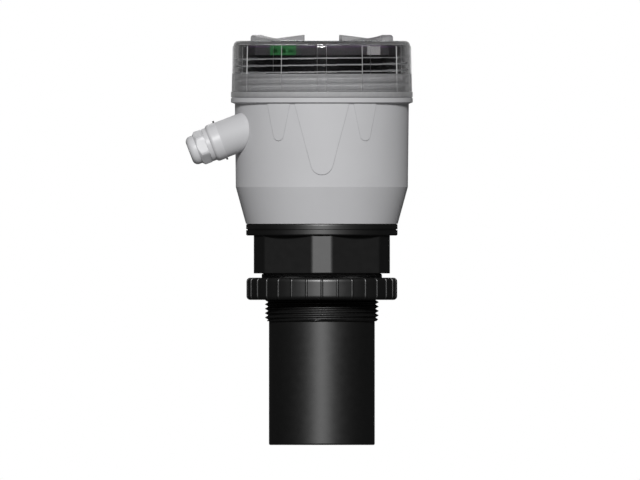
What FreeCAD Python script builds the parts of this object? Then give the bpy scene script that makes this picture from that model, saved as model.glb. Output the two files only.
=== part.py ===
import FreeCAD, Part
import math
import os

import Sketcher

# Ultrasonic level transmitter, in millimetres, +Z up. The origin is the centre of the sensor face at
# the bottom of the tube, the front of the housing looks along -Y and the cable entry is at -X.

# Driving dimensions, as (alias, value, meaning)
SIZES = [
    # Sensor tube, pipe thread, hexagon and flange of the transducer body
    ("tube_step", 2.007, "step from the thread's crest in to the tube"),
    ("tube_height", 65.0, "tube below the thread"),
    ("tube_edge", 0.8, "rounding of the sensor face's edge"),
    ("tube_wall", 3.8, "wall of the tube"),
    ("face_thickness", 3.0, "closed end of the tube, through which it sounds"),
    ("thread_radius", 29.807, "major radius of the two inch parallel pipe thread"),
    ("thread_length", 25.1, "thread from its lower end to the hexagon"),
    ("thread_chamfer", 1.2, "lead of the thread"),
    ("hex_shoulder", 5.943, "flat of the hexagon beyond the thread"),
    ("hex_corner_width", 10.5, "flat on each corner of the hexagon"),
    ("hex_height", 19.9, "height of the hexagon"),
    ("flange_overhang", 1.5, "flange beyond the hexagon's corners"),
    ("flange_height", 6.2, "height of the flange"),
    ("flange_edge", 0.8, "rounding of the flange"),
    ("flange_groove_width", 0.5, "groove round the flange"),
    ("flange_groove_depth", 0.7, "depth of that groove"),
    ("flange_seal_inset", 4.5, "seal under the housing, outside the circle of screws"),
    ("flange_seal_width", 3.0, "radial width of that seal"),
    ("flange_seal_height", 1.8, "height of that seal"),
    ("flange_seal_fit", 0.1, "gap on both sides of that seal in its groove"),
    ("flange_screw_inset", 4.5, "circle of flange screws outside the tube's bore"),
    ("flange_screw_count", 4, "flange screws"),
    ("flange_screw_radius", 1.9, "shank of a flange screw"),
    ("flange_screw_depth", 9.0, "length of a shank in the transducer body"),
    ("flange_screw_fit", 0.05, "gap round a shank"),
    ("flange_head_radius", 3.5, "head of a flange screw"),
    ("flange_head_height", 2.4, "height of that head"),
    # Lock nut and the gasket above it
    ("nut_height", 11.7, "height of the lock nut"),
    ("nut_ring_width", 9.393, "nut beyond the thread, between its ribs"),
    ("nut_edge", 2.0, "rounding of the nut"),
    ("nut_rib_count", 30, "grip ribs round the nut"),
    ("nut_rib_angle", 6.0, "turn of the first rib from +X, so that one faces the front"),
    ("nut_rib_width", 1.5, "width of a rib"),
    ("nut_rib_height", 0.6, "how far a rib stands out"),
    ("thread_clearance", 0.3, "gap between the thread and what goes over it"),
    ("gasket_height", 2.2, "height of the mounting gasket"),
    ("gasket_width", 1.493, "radial width of the mounting gasket"),
    ("gasket_edge", 1.0, "rounding of the gasket's upper edge"),
    # Housing
    ("bore_radius", 39.2, "inside of the housing"),
    ("housing_foot", 0.15, "foot of the housing's cone beyond the flange"),
    ("cone_height", 19.3, "height of the cone"),
    ("barrel_draft", 0.5, "how much the barrel widens upwards"),
    ("barrel_height", 44.0, "height of the barrel"),
    ("lip_overhang", 2.05, "lip beyond the barrel, flush with the cover's bead"),
    ("lip_height", 2.7, "height of the lip"),
    ("lip_chamfer", 1.5, "lower edge of the lip"),
    ("neck_wall", 3.1, "wall of the neck under its thread"),
    ("neck_height", 12.8, "neck above the lip"),
    ("neck_chamfer", 0.8, "lead of the neck"),
    ("floor_wall", 4.9, "wall of the housing at its floor"),
    ("floor_thickness", 3.3, "floor of the housing"),
    ("bore_cone_height", 13.5, "height over which the inside widens"),
    ("wire_hole_radius", 16.0, "hole in the floor for the sensor's leads"),
    # Raised drip reliefs under the lip, on the front of the barrel
    ("drip_depth", 0.5, "how far a relief stands out"),
    ("drip_half_width", 15.1, "half width of the middle relief at the lip"),
    ("drip_bottom_radius", 5.8, "round end of the middle relief"),
    ("drip_drop", 37.5, "length of the middle relief"),
    ("side_drip_angle", 30.0, "turn of the side reliefs from the front"),
    ("side_drip_half_width", 7.3, "half width of a side relief at the lip"),
    ("side_drip_bottom_radius", 2.9, "round end of a side relief"),
    ("side_drip_drop", 19.6, "length of a side relief"),
    # Cable entry boss and gland
    ("gland_tilt", 21.0, "droop of the cable entry below the horizontal"),
    ("gland_offset", 15.2, "cable entry in front of the housing's axis"),
    ("boss_reach", 7.2, "end of the boss beyond the barrel"),
    ("gland_drop", 19.3, "end of the boss below the lip"),
    ("boss_wall", 3.25, "wall of the boss round its hole"),
    ("boss_root", 19.8, "run of the boss inside the barrel"),
    ("gland_fit", 0.1, "gap round the gland's inner shank"),
    ("gland_shank", 12.0, "length of the gland's shank in the boss"),
    ("shank_wall", 1.8, "wall of that shank"),
    ("gland_gasket_inset", 1.0, "gland's gasket in from the boss, inside the collar"),
    ("gasket_tab_rise", 1.1, "locating tabs of that gasket beyond the boss"),
    ("gasket_tab_width", 2.4, "width of a tab"),
    ("gasket_tab_count", 2, "tabs, above and below the cable entry"),
    ("gland_gasket_height", 1.0, "thickness of that gasket"),
    ("collar_rim", 1.0, "collar of the gland beyond its ring"),
    ("collar_length", 4.8, "length of the collar"),
    ("collar_shoulder", 1.8, "height of the collar's rounded shoulder"),
    ("collar_edge", 2.0, "rounding of that shoulder"),
    ("gland_ring_rim", 0.83, "ring between collar and nut, beyond the nut's flats"),
    ("gland_ring_length", 2.1, "length of that ring"),
    ("gland_stub_wall", 1.3, "wall of the threaded stub under the gland nut"),
    ("gland_stub_length", 5.5, "length of that stub"),
    ("gland_seal_wall", 1.3, "wall of the rubber seal round the cable"),
    ("gland_clearance", 0.3, "gap between the gland's moving pieces"),
    ("cable_radius", 3.0, "cable that the gland's seal takes"),
    ("gland_seal_length", 7.5, "seal inside the gland body"),
    ("gland_seal_head", 2.0, "head of the seal under the nut's end"),
    ("gland_nut_wall", 1.92, "wall of the gland nut at its flats"),
    ("gland_nut_trim", 1.2, "trimmed corners of the gland nut beyond its flats"),
    ("gland_nut_angle", 25.0, "turn of the nut's first corner from the top"),
    ("gland_nut_chamfer", 0.7, "chamfer on those corners"),
    ("gland_hex_length", 5.6, "hexagon of the gland nut"),
    ("dome_length", 4.4, "domed end of the gland nut"),
    ("dome_inset", 0.42, "dome in from the nut's flats"),
    ("dome_edge", 2.9, "rounding of the dome"),
    ("dome_hole_gap", 0.9, "gap round the cable in the dome"),
    # Clear cover and its seal
    ("cover_gap", 0.3, "gap between the lip and the cover's rim"),
    ("key_headroom", 0.3, "gap between the keys and the cover's top"),
    ("cover_bead_width", 0.85, "bead round the cover's rim, beyond its wall"),
    ("cover_bead_height", 3.2, "height of the bead"),
    ("cover_thread_room", 1.6, "room for the thread between neck and cover"),
    ("cover_draft", 0.5, "how much the cover narrows upwards"),
    ("cover_wall", 3.0, "wall of the cover"),
    ("cover_top", 2.0, "thickness of the cover's top"),
    ("cover_edge", 2.6, "outer rounding of the top"),
    ("cover_inner_edge", 0.5, "inner rounding of the top"),
    ("grip_rib_count", 12, "flat grip ribs round the cover"),
    ("grip_rib_width", 4.9, "width of a grip rib"),
    ("grip_rib_height", 0.3, "how far a grip rib stands out"),
    ("grip_rib_root", 1.0, "root of a grip rib in the cover's wall"),
    ("ramp_count", 4, "saw-tooth ramps on the cover's top"),
    ("ramp_inset", 7.5, "ramps in from the cover's wall"),
    ("ramp_width", 6.0, "radial width of a ramp"),
    ("ramp_height", 3.1, "height of a ramp's steep end"),
    ("ramp_length", 26.0, "run of a ramp from its steep end to the top plate"),
    ("ramp_angle", 15.9, "turn of the first steep end from +X"),
    ("ramp_edge", 1.6, "outer rounding of a ramp"),
    ("ramp_root", 0.5, "root of a ramp in the top plate"),
    ("cover_seal_gap", 0.4, "gap between the neck and the cover's seal"),
    ("cover_seal_width", 2.7, "radial width of the cover's seal"),
    ("cover_seal_height", 1.7, "height of the cover's seal"),
    ("cover_seal_clearance", 0.3, "gap round the seal in the cover"),
    ("cover_seal_lip_inset", 0.5, "thin lip of the seal, in from the cover's bead"),
    # Display
    ("board_thickness", 1.6, "both circuit boards"),
    ("carrier_ledge", 0.3, "drum of the display carrier beyond the housing's bore"),
    ("carrier_wall", 3.0, "wall of the drum"),
    ("carrier_height", 8.2, "drum above the neck"),
    ("carrier_foot_inset", 1.1, "foot of the drum in from the neck's outside"),
    ("carrier_foot_height", 1.4, "height of the foot"),
    ("carrier_spigot", 4.0, "spigot of the drum in the neck"),
    ("carrier_fit", 0.2, "gap round the spigot"),
    ("display_board_overhang", 0.8, "display board beyond the drum"),
    ("bezel_overhang", 1.5, "bezel beyond the drum"),
    ("bezel_height", 4.0, "height of the bezel"),
    ("bezel_wall", 2.0, "wall of the bezel"),
    ("bezel_top", 1.8, "top of the bezel"),
    ("bezel_front_cut", 19.5, "straight front of the bezel, in from its round outline"),
    ("label_margin", 0.9, "bezel left bare round the label"),
    ("label_thickness", 0.9, "label on the bezel"),
    ("lcd_length", 44.0, "display panel, left to right"),
    ("lcd_width", 20.0, "display panel, front to back"),
    ("lcd_gap", 0.3, "gap between the display panel and the bezel"),
    ("lcd_rear_shift", 8.0, "display panel behind the axis"),
    ("lcd_cover", 2.0, "edge of the panel hidden by the bezel"),
    ("key_count", 4, "push keys"),
    ("key_pitch", 14.0, "spacing of the keys"),
    ("key_inset", 9.5, "keys behind the bezel's straight front"),
    ("key_radius", 3.4, "cap of a key"),
    ("key_clearance", 0.3, "gap round a cap"),
    ("key_flange", 1.0, "how far a key's flange reaches under the bezel"),
    ("key_flange_height", 0.6, "height of that flange"),
    ("key_play", 0.1, "gap between the flange and the bezel"),
    ("key_rise", 0.3, "cap above the label"),
    ("key_travel", 0.5, "stroke of a key"),
    ("key_edge", 0.3, "rounding of a cap"),
    ("switch_size", 6.2, "switch under a key"),
    ("terminal_inset", 13.3, "left end of the terminal block, in from the board's edge"),
    ("terminal_gap", 1.0, "gap between the bezel and the terminal block"),
    ("terminal_ends", 0.9, "terminal block beyond its ways"),
    ("terminal_width", 8.5, "terminal block, front to back"),
    ("terminal_rise", 1.0, "terminal block above the bezel"),
    ("terminal_ways", 3, "wires that the block takes"),
    ("terminal_pitch", 4.2, "spacing of the wires"),
    ("wire_slot_size", 2.4, "square wire opening"),
    ("wire_slot_low", 0.8, "wire opening above the board"),
    ("wire_slot_depth", 5.0, "depth of a wire opening"),
    ("terminal_well_fit", 0.1, "gap round a terminal screw in its well"),
    ("terminal_well_depth", 1.3, "depth of that well"),
    ("terminal_screw_radius", 1.5, "terminal screw"),
    ("terminal_screw_height", 1.1, "height of a terminal screw in its well"),
    ("terminal_screw_slot", 0.5, "width of a screw's slot"),
    ("terminal_slot_depth", 0.5, "depth of a screw's slot"),
    ("connector_inset", 16.6, "left end of the connector, in from the board's edge"),
    ("connector_gap", 0.5, "gap between the bezel and the connector"),
    ("connector_ends", 0.8, "connector beyond its ways"),
    ("connector_width", 5.5, "connector, front to back"),
    ("connector_rise", 0.6, "connector above the bezel"),
    ("connector_ways", 4, "slots in the connector's front"),
    ("connector_pitch", 1.5, "spacing of those slots"),
    ("connector_slot_width", 0.7, "width of a slot"),
    ("connector_slot_depth", 1.0, "depth of a slot"),
    ("connector_slot_low", 0.7, "foot of a slot above the board"),
    # Main board and what it carries
    ("main_board_gap", 3.2, "gap between the main board and the housing"),
    ("standoff_count", 4, "posts under the main board"),
    ("standoff_inset", 7.0, "circle of posts in from the board's edge"),
    ("standoff_angle", 45.0, "turn of the posts from the flange screws"),
    ("standoff_radius", 2.75, "post"),
    ("standoff_height", 26.5, "height of a post"),
    ("board_screw_radius", 1.2, "shank of a board screw"),
    ("board_screw_depth", 5.0, "shank in the post"),
    ("board_screw_fit", 0.05, "gap round a shank"),
    ("board_head_radius", 2.5, "head of a board screw"),
    ("board_head_height", 1.8, "height of that head"),
    ("transformer_length", 16.0, "pulse transformer, left to right"),
    ("transformer_width", 14.0, "pulse transformer, front to back"),
    ("transformer_height", 11.0, "height of the pulse transformer"),
    ("transformer_right", 4.0, "pulse transformer right of the axis"),
    ("capacitor_radius", 4.0, "capacitor"),
    ("capacitor_height", 12.0, "height of a capacitor"),
    ("capacitor_count", 2, "capacitors"),
    ("capacitor_pitch", 11.0, "spacing of the capacitors"),
    ("capacitor_left", 14.0, "capacitors left of the axis"),
    ("ribbon_width", 12.0, "flat cable between the boards"),
    ("ribbon_thickness", 1.0, "thickness of the flat cable"),
    ("ribbon_inset", 10.0, "flat cable in from the board's edge"),
    # Sensor inside the tube
    ("sensor_fit", 0.1, "gap round the sensor's pieces in the tube"),
    ("matching_height", 3.0, "matching layer on the tube's closed end"),
    ("damping_width", 4.8, "radial width of the damping ring round the piezo disc"),
    ("piezo_height", 8.0, "height of the piezo disc"),
    ("potting_height", 46.0, "potting above the piezo disc"),
    ("lead_radius", 0.9, "sensor lead"),
    ("lead_spacing", 8.0, "spacing of the two leads"),
]


class Size:
    """A number together with the sheet formula that gives it."""

    def __init__(self, value, text):
        self.value = value
        self.text = text

    def __add__(self, other):
        other = as_size(other)
        return Size(self.value + other.value, "(%s + %s)" % (self.text, other.text))

    def __sub__(self, other):
        other = as_size(other)
        return Size(self.value - other.value, "(%s - %s)" % (self.text, other.text))

    def __mul__(self, other):
        other = as_size(other)
        return Size(self.value * other.value, "(%s * %s)" % (self.text, other.text))

    def __truediv__(self, other):
        other = as_size(other)
        return Size(self.value / other.value, "(%s / %s)" % (self.text, other.text))

    def __neg__(self):
        return Size(-self.value, "(-1 * %s)" % self.text)


def as_size(number):
    """A plain number as a Size; a Size stays as it is."""
    if isinstance(number, Size):
        return number
    return Size(number, "(%.12f)" % number)


doc = FreeCAD.newDocument("level_transmitter")


def make_sheet():
    """Write the driving dimensions to the sheet and give each as a Size."""
    sheet = doc.addObject("Spreadsheet::Sheet", "dims")
    found = {}
    for row, (alias, value, meaning) in enumerate(SIZES, 1):
        sheet.set("A%d" % row, meaning)
        sheet.set("B%d" % row, str(value))
        sheet.setAlias("B%d" % row, alias)
        found[alias] = Size(value, "dims." + alias)
    doc.recompute()
    return found


DIMS = make_sheet()
NODES = []


def dim(alias):
    return DIMS[alias]


def follow(alias, size):
    """Name a size that is worked out from the driving dimensions."""
    DIMS[alias] = size
    return size


ZERO = as_size(0)

# Transducer body, nut and gasket, outwards from the thread
follow("tube_radius", dim("thread_radius") - dim("tube_step"))
TUBE_BORE = dim("tube_radius") - dim("tube_wall")
THREAD_BORE = dim("thread_radius") + dim("thread_clearance")
follow("hex_flats", (dim("thread_radius") + dim("hex_shoulder")) * 2)
HEX_TIP = dim("hex_flats") / (2 * math.cos(math.radians(30)))
HEX_REACH = HEX_TIP - dim("hex_corner_width") / (2 * math.tan(math.radians(60)))
follow("flange_radius", HEX_REACH + dim("flange_overhang"))
follow("flange_screw_circle", TUBE_BORE + dim("flange_screw_inset"))
follow("flange_seal_radius", dim("flange_screw_circle") + dim("flange_seal_inset"))
FLANGE_SCREW_HOLE = dim("flange_screw_radius") + dim("flange_screw_fit")
SENSOR_RADIUS = TUBE_BORE - dim("sensor_fit")
DAMPING_BORE = SENSOR_RADIUS - dim("damping_width")
follow("piezo_radius", DAMPING_BORE - dim("sensor_fit"))
follow("nut_radius", dim("thread_radius") + dim("nut_ring_width"))
follow("gasket_radius", THREAD_BORE + dim("gasket_width"))

# Housing and cover, outwards from the bore: neck, thread, cover, bead, and the lip flush with the bead
follow("neck_radius", dim("bore_radius") + dim("neck_wall"))
COVER_BORE = dim("neck_radius") + dim("cover_thread_room")
follow("cover_low_radius", COVER_BORE + dim("cover_wall"))
follow("cover_top_radius", dim("cover_low_radius") - dim("cover_draft"))
follow("cover_bead_radius", dim("cover_low_radius") + dim("cover_bead_width"))
follow("lip_radius", dim("cover_bead_radius"))
follow("barrel_top_radius", dim("lip_radius") - dim("lip_overhang"))
follow("barrel_low_radius", dim("barrel_top_radius") - dim("barrel_draft"))
follow("housing_base_radius", dim("flange_radius") + dim("housing_foot"))
follow("floor_radius", dim("housing_base_radius") - dim("floor_wall"))
follow("cover_seal_inner", dim("neck_radius") + dim("cover_seal_gap"))
follow("cover_seal_outer", dim("cover_seal_inner") + dim("cover_seal_width"))
follow("ramp_outer", dim("cover_top_radius") - dim("ramp_inset"))
follow("ramp_inner", dim("ramp_outer") - dim("ramp_width"))

# Gland and boss, outwards from the cable
SEAL_SLEEVE = dim("cable_radius") + dim("gland_seal_wall")
follow("gland_bore", SEAL_SLEEVE + dim("gland_clearance"))
follow("gland_stub_radius", dim("gland_bore") + dim("gland_stub_wall"))
GLAND_NUT_BORE = dim("gland_stub_radius") + dim("gland_clearance")
GLAND_FLAT = GLAND_NUT_BORE + dim("gland_nut_wall")
follow("gland_nut_flats", GLAND_FLAT * 2)
follow("gland_nut_corner", GLAND_FLAT + dim("gland_nut_trim"))
follow("dome_radius", GLAND_FLAT - dim("dome_inset"))
follow("dome_hole", dim("cable_radius") + dim("dome_hole_gap"))
follow("gland_ring_radius", GLAND_FLAT + dim("gland_ring_rim"))
follow("collar_radius", dim("gland_ring_radius") + dim("collar_rim"))
GLAND_SHANK = dim("gland_bore") + dim("shank_wall")
follow("boss_bore", GLAND_SHANK + dim("gland_fit"))
follow("boss_radius", dim("boss_bore") + dim("boss_wall"))
follow("gland_gasket_radius", dim("boss_radius") - dim("gland_gasket_inset"))
follow("gland_reach", dim("barrel_top_radius") + dim("boss_reach"))
follow("boss_depth", dim("boss_reach") + dim("boss_root"))

# Display and main board, from the bore
follow("carrier_radius", dim("bore_radius") + dim("carrier_ledge"))
follow("carrier_foot_radius", dim("neck_radius") - dim("carrier_foot_inset"))
follow("display_board_radius", dim("carrier_radius") + dim("display_board_overhang"))
follow("bezel_radius", dim("carrier_radius") + dim("bezel_overhang"))
follow("bezel_chord", dim("bezel_radius") - dim("bezel_front_cut"))
follow("lcd_thickness", dim("bezel_height") - dim("bezel_top") - dim("lcd_gap"))
follow("key_forward", dim("bezel_chord") - dim("key_inset"))
KEY_HOLE = dim("key_radius") + dim("key_clearance")
KEY_FLANGE_TOP = dim("bezel_height") - dim("bezel_top") - dim("key_play")
KEY_FLANGE_LOW = KEY_FLANGE_TOP - dim("key_flange_height")
follow("terminal_left", dim("display_board_radius") - dim("terminal_inset"))
follow("terminal_front", dim("bezel_chord") + dim("terminal_gap") + dim("terminal_width"))
follow("terminal_length", dim("terminal_pitch") * dim("terminal_ways") + dim("terminal_ends"))
follow("terminal_height", dim("bezel_height") + dim("terminal_rise"))
follow("terminal_well", dim("terminal_screw_radius") + dim("terminal_well_fit"))
follow("connector_left", dim("display_board_radius") - dim("connector_inset"))
follow("connector_front", dim("bezel_chord") + dim("connector_gap") + dim("connector_width"))
follow("connector_length", dim("connector_pitch") * dim("connector_ways") + dim("connector_ends"))
follow("connector_height", dim("bezel_height") + dim("connector_rise"))
follow("main_board_radius", dim("bore_radius") - dim("main_board_gap"))
follow("standoff_circle", dim("main_board_radius") - dim("standoff_inset"))
follow("ribbon_rear", dim("main_board_radius") - dim("ribbon_inset"))

# Levels, upwards from the sensor face
MATCHING_TOP = dim("face_thickness") + dim("matching_height")
PIEZO_TOP = MATCHING_TOP + dim("piezo_height")
POTTING_TOP = PIEZO_TOP + dim("potting_height")
THREAD_TOP = dim("tube_height") + dim("thread_length")
NUT_LOW = THREAD_TOP - dim("gasket_height") - dim("nut_height")
FLANGE_LOW = THREAD_TOP + dim("hex_height")
HOUSING_LOW = FLANGE_LOW + dim("flange_height")
FLOOR_TOP = HOUSING_LOW + dim("floor_thickness")
LIP_LOW = HOUSING_LOW + dim("cone_height") + dim("barrel_height")
LIP_TOP = LIP_LOW + dim("lip_height")
NECK_TOP = LIP_TOP + dim("neck_height")
MAIN_BOARD_LOW = FLOOR_TOP + dim("standoff_height")
MAIN_BOARD_TOP = MAIN_BOARD_LOW + dim("board_thickness")
DISPLAY_LOW = NECK_TOP + dim("carrier_height")
DISPLAY_TOP = DISPLAY_LOW + dim("board_thickness")
BEZEL_TOP = DISPLAY_TOP + dim("bezel_height")
KEY_TOP = BEZEL_TOP + dim("label_thickness") + dim("key_rise")
COVER_LOW = LIP_TOP + dim("cover_gap")
follow("cover_height", KEY_TOP + dim("key_headroom") + dim("cover_top") - COVER_LOW)

# Stations along the cable gland, outwards from the end of the boss
COLLAR_END = dim("gland_gasket_height") + dim("collar_length")
RING_END = COLLAR_END + dim("gland_ring_length")
STUB_END = RING_END + dim("gland_stub_length")
SEAL_END = STUB_END + dim("gland_seal_head")
GLAND_HEX_END = RING_END + dim("gland_hex_length")
GLAND_END = GLAND_HEX_END + dim("dome_length")


# Tools for bodies, sketches and features

def new_body(label, level=ZERO, across=ZERO, along=ZERO, turn=None):
    """A body placed at (across, along, level), turned about its upright axis."""
    body = doc.addObject("PartDesign::Body", label)
    body.Label = label
    if turn is not None:
        body.Placement.Rotation = FreeCAD.Rotation(FreeCAD.Vector(0, 0, 1), turn.value)
        body.setExpression("Placement.Rotation.Angle", turn.text)
    body.setExpression("Placement.Base.x", across.text)
    body.setExpression("Placement.Base.y", along.text)
    body.setExpression("Placement.Base.z", level.text)
    NODES.append(body)
    return body


def new_gland_body(label):
    """A body whose +Z runs outwards along the cable entry from the end of the boss."""
    body = doc.addObject("PartDesign::Body", label)
    body.Label = label
    aim_at_gland(body, "Placement", LIP_LOW - dim("gland_drop"))
    NODES.append(body)
    return body


def aim_at_gland(thing, placement, level):
    """Bind a placement to the end of the boss, with its +Z outwards along the cable entry."""
    lean = dim("gland_tilt") + 90
    rotation = FreeCAD.Rotation(FreeCAD.Vector(0, -1, 0), lean.value)
    setattr(thing, placement, FreeCAD.Placement(FreeCAD.Vector(0, 0, 0), rotation))
    thing.setExpression(placement + ".Rotation.Angle", lean.text)
    thing.setExpression(placement + ".Base.x", (-dim("gland_reach")).text)
    thing.setExpression(placement + ".Base.y", (-dim("gland_offset")).text)
    thing.setExpression(placement + ".Base.z", level.text)


def origin_feature(body, role):
    return next(item for item in body.Origin.OriginFeatures if item.Role == role)


def new_sketch(body, name, plane, lift=None, turn=None):
    """A sketch on an origin plane, lifted along its normal or turned about the plane's second axis."""
    sketch = body.newObject("Sketcher::SketchObject", name)
    sketch.AttachmentSupport = (origin_feature(body, plane), [""])
    sketch.MapMode = "FlatFace"
    if turn is not None:
        side = math.copysign(1, turn.value)
        rotation = FreeCAD.Rotation(FreeCAD.Vector(0, side, 0), abs(turn.value))
        sketch.AttachmentOffset = FreeCAD.Placement(FreeCAD.Vector(0, 0, 0), rotation)
        sketch.setExpression("AttachmentOffset.Rotation.Angle", (turn * side).text)
    if lift is not None and turn is None:
        sketch.setExpression("AttachmentOffset.Base.z", lift.text)
    if lift is not None and turn is not None:
        slope = math.radians(turn.value)
        sketch.setExpression("AttachmentOffset.Base.x", (lift * math.sin(slope)).text)
        sketch.setExpression("AttachmentOffset.Base.z", (lift * math.cos(slope)).text)
    return sketch


def bind(sketch, constraint, label, size):
    """Add a dimension to a sketch and tie it to the sheet."""
    index = sketch.addConstraint(constraint)
    sketch.renameConstraint(index, label)
    sketch.setExpression("Constraints." + label, size.text)


def pin(sketch, geo, point, size, direction):
    """Fix one coordinate of a point from the sketch's origin."""
    label = "%s_%d_%d" % (direction.lower(), geo, point)
    kind = "Distance" + direction
    if abs(size.value) < 1e-7:
        axis = -2 if direction == "X" else -1
        sketch.addConstraint(Sketcher.Constraint("PointOnObject", geo, point, axis))
    elif size.value > 0:
        bind(sketch, Sketcher.Constraint(kind, -1, 1, geo, point, size.value), label, size)
    else:
        bind(sketch, Sketcher.Constraint(kind, geo, point, -1, 1, -size.value), label, -size)


def arc_between(start, end, radius):
    """An arc with its centre left of the way from start to end, or right if the radius is negative."""
    chord = end - start
    half = chord.Length / 2
    side = FreeCAD.Vector(-chord.y, chord.x, 0)
    side.normalize()
    reach = math.sqrt(max(radius * radius - half * half, 0))
    centre = (start + end) * 0.5 + side * math.copysign(reach, radius)
    first, last = (start, end) if radius > 0 else (end, start)
    angles = [math.atan2(p.y - centre.y, p.x - centre.x) for p in (first, last)]
    circle = Part.Circle(centre, FreeCAD.Vector(0, 0, 1), abs(radius))
    return Part.ArcOfCircle(circle, angles[0], angles[1])


def outline(sketch, points):
    """A closed outline of (x, y) points; a third entry makes an arc of that radius to the next point."""
    spots = [(as_size(p[0]), as_size(p[1])) for p in points]
    places = [FreeCAD.Vector(x.value, y.value, 0) for x, y in spots]
    ends = []
    for i, point in enumerate(points):
        here, there = places[i], places[(i + 1) % len(places)]
        if len(point) == 3:
            sketch.addGeometry(arc_between(here, there, point[2].value), False)
            ends.append((1, 2) if point[2].value > 0 else (2, 1))
        else:
            sketch.addGeometry(Part.LineSegment(here, there), False)
            ends.append((1, 2))
    for i, spot in enumerate(spots):
        before = i - 1 if i else len(spots) - 1
        sketch.addConstraint(Sketcher.Constraint("Coincident", before, ends[before][1], i, ends[i][0]))
        pin(sketch, i, ends[i][0], spot[0], "X")
        pin(sketch, i, ends[i][0], spot[1], "Y")
        if len(points[i]) == 3:
            size = points[i][2] if points[i][2].value > 0 else -points[i][2]
            bind(sketch, Sketcher.Constraint("Radius", i, size.value), "radius_%d" % i, size)


def rectangle(sketch, left, low, right, high):
    outline(sketch, [(left, low), (right, low), (right, high), (left, high)])


def circle(sketch, radius, across=ZERO, along=ZERO):
    centre = FreeCAD.Vector(across.value, along.value, 0)
    geo = sketch.addGeometry(Part.Circle(centre, FreeCAD.Vector(0, 0, 1), radius.value), False)
    pin(sketch, geo, 3, across, "X")
    pin(sketch, geo, 3, along, "Y")
    bind(sketch, Sketcher.Constraint("Radius", geo, radius.value), "radius_%d" % geo, radius)


def d_shape(sketch, radius, chord):
    """A round outline with a straight front, chord away from the axis."""
    edge = math.sqrt(radius.value ** 2 - chord.value ** 2)
    right = FreeCAD.Vector(edge, -chord.value, 0)
    left = FreeCAD.Vector(-edge, -chord.value, 0)
    sweep = math.atan2(-chord.value, edge)
    whole = Part.Circle(FreeCAD.Vector(0, 0, 0), FreeCAD.Vector(0, 0, 1), radius.value)
    sketch.addGeometry(Part.ArcOfCircle(whole, sweep, math.pi - sweep), False)
    sketch.addGeometry(Part.LineSegment(left, right), False)
    sketch.addConstraint(Sketcher.Constraint("Coincident", 0, 3, -1, 1))
    sketch.addConstraint(Sketcher.Constraint("Coincident", 0, 2, 1, 1))
    sketch.addConstraint(Sketcher.Constraint("Coincident", 1, 2, 0, 1))
    sketch.addConstraint(Sketcher.Constraint("Horizontal", 1))
    bind(sketch, Sketcher.Constraint("Radius", 0, radius.value), "radius", radius)
    bind(sketch, Sketcher.Constraint("DistanceY", 1, 1, -1, 1, chord.value), "chord", chord)


def drip_shape(sketch, half_width, top, drop, radius):
    """A tapered U that hangs from top, with a round end drop below the lip."""
    centre = FreeCAD.Vector(0, drop.value, 0)
    left = FreeCAD.Vector(-half_width.value, top.value, 0)
    right = FreeCAD.Vector(half_width.value, top.value, 0)
    out = FreeCAD.Vector(radius.value, 0, 0)
    whole = Part.Circle(centre, FreeCAD.Vector(0, 0, 1), radius.value)
    sketch.addGeometry(Part.LineSegment(right, left), False)
    sketch.addGeometry(Part.LineSegment(left, centre - out), False)
    sketch.addGeometry(Part.ArcOfCircle(whole, math.pi, 2 * math.pi), False)
    sketch.addGeometry(Part.LineSegment(centre + out, right), False)
    sketch.addConstraint(Sketcher.Constraint("Coincident", 0, 2, 1, 1))
    sketch.addConstraint(Sketcher.Constraint("Coincident", 3, 2, 0, 1))
    sketch.addConstraint(Sketcher.Constraint("Tangent", 1, 2, 2, 1))
    sketch.addConstraint(Sketcher.Constraint("Tangent", 2, 2, 3, 1))
    pin(sketch, 0, 1, half_width, "X")
    pin(sketch, 0, 1, top, "Y")
    pin(sketch, 0, 2, -half_width, "X")
    pin(sketch, 0, 2, top, "Y")
    pin(sketch, 2, 3, ZERO, "X")
    pin(sketch, 2, 3, drop, "Y")
    bind(sketch, Sketcher.Constraint("Radius", 2, radius.value), "radius", radius)


def volume_of(body):
    return 0.0 if body.Shape.isNull() else body.Shape.Volume


def add_feature(body, kind, name, adds, **settings):
    """Make a feature, and stop if it fails or changes the solid the wrong way."""
    before = volume_of(body)
    feature = body.newObject("PartDesign::" + kind, name)
    for key, setting in settings.items():
        if isinstance(setting, Size):
            feature.setExpression(key, setting.text)
        else:
            setattr(feature, key, setting)
    body.Tip = feature
    doc.recompute()
    change = volume_of(body) - before
    if "Invalid" in feature.State or change * adds <= 0:
        raise RuntimeError("%s of %s changed the solid by %.3f" % (name, body.Label, change))
    return feature


def turned(body, name, points, cut=False):
    """Spin an outline of (radius, height) points about the body's axis, to add or to cut."""
    sketch = new_sketch(body, name + "_profile", "XZ_Plane")
    outline(sketch, points)
    kind = "Groove" if cut else "Revolution"
    adds = -1 if cut else 1
    return add_feature(body, kind, name, adds, Profile=sketch, ReferenceAxis=(sketch, ["V_Axis"]), Angle=360)


def pad(body, name, sketch, length, **settings):
    return add_feature(body, "Pad", name, 1, Profile=sketch, Length=length, **settings)


def pocket(body, name, sketch, length, **settings):
    return add_feature(body, "Pocket", name, -1, Profile=sketch, Length=length, **settings)


def ring_of(body, name, originals, count, adds):
    """Repeat features round the body's axis."""
    axis = (origin_feature(body, "Z_Axis"), [""])
    return add_feature(body, "PolarPattern", name, adds, Originals=originals, Axis=axis, Angle=360,
                       Occurrences=count)


def row_of(body, name, originals, count, pitch, adds):
    """Repeat features along the body's own X."""
    direction = (origin_feature(body, "X_Axis"), [""])
    return add_feature(body, "LinearPattern", name, adds, Originals=originals, Direction=direction,
                       Length=pitch * (count - 1), Occurrences=count)


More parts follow.
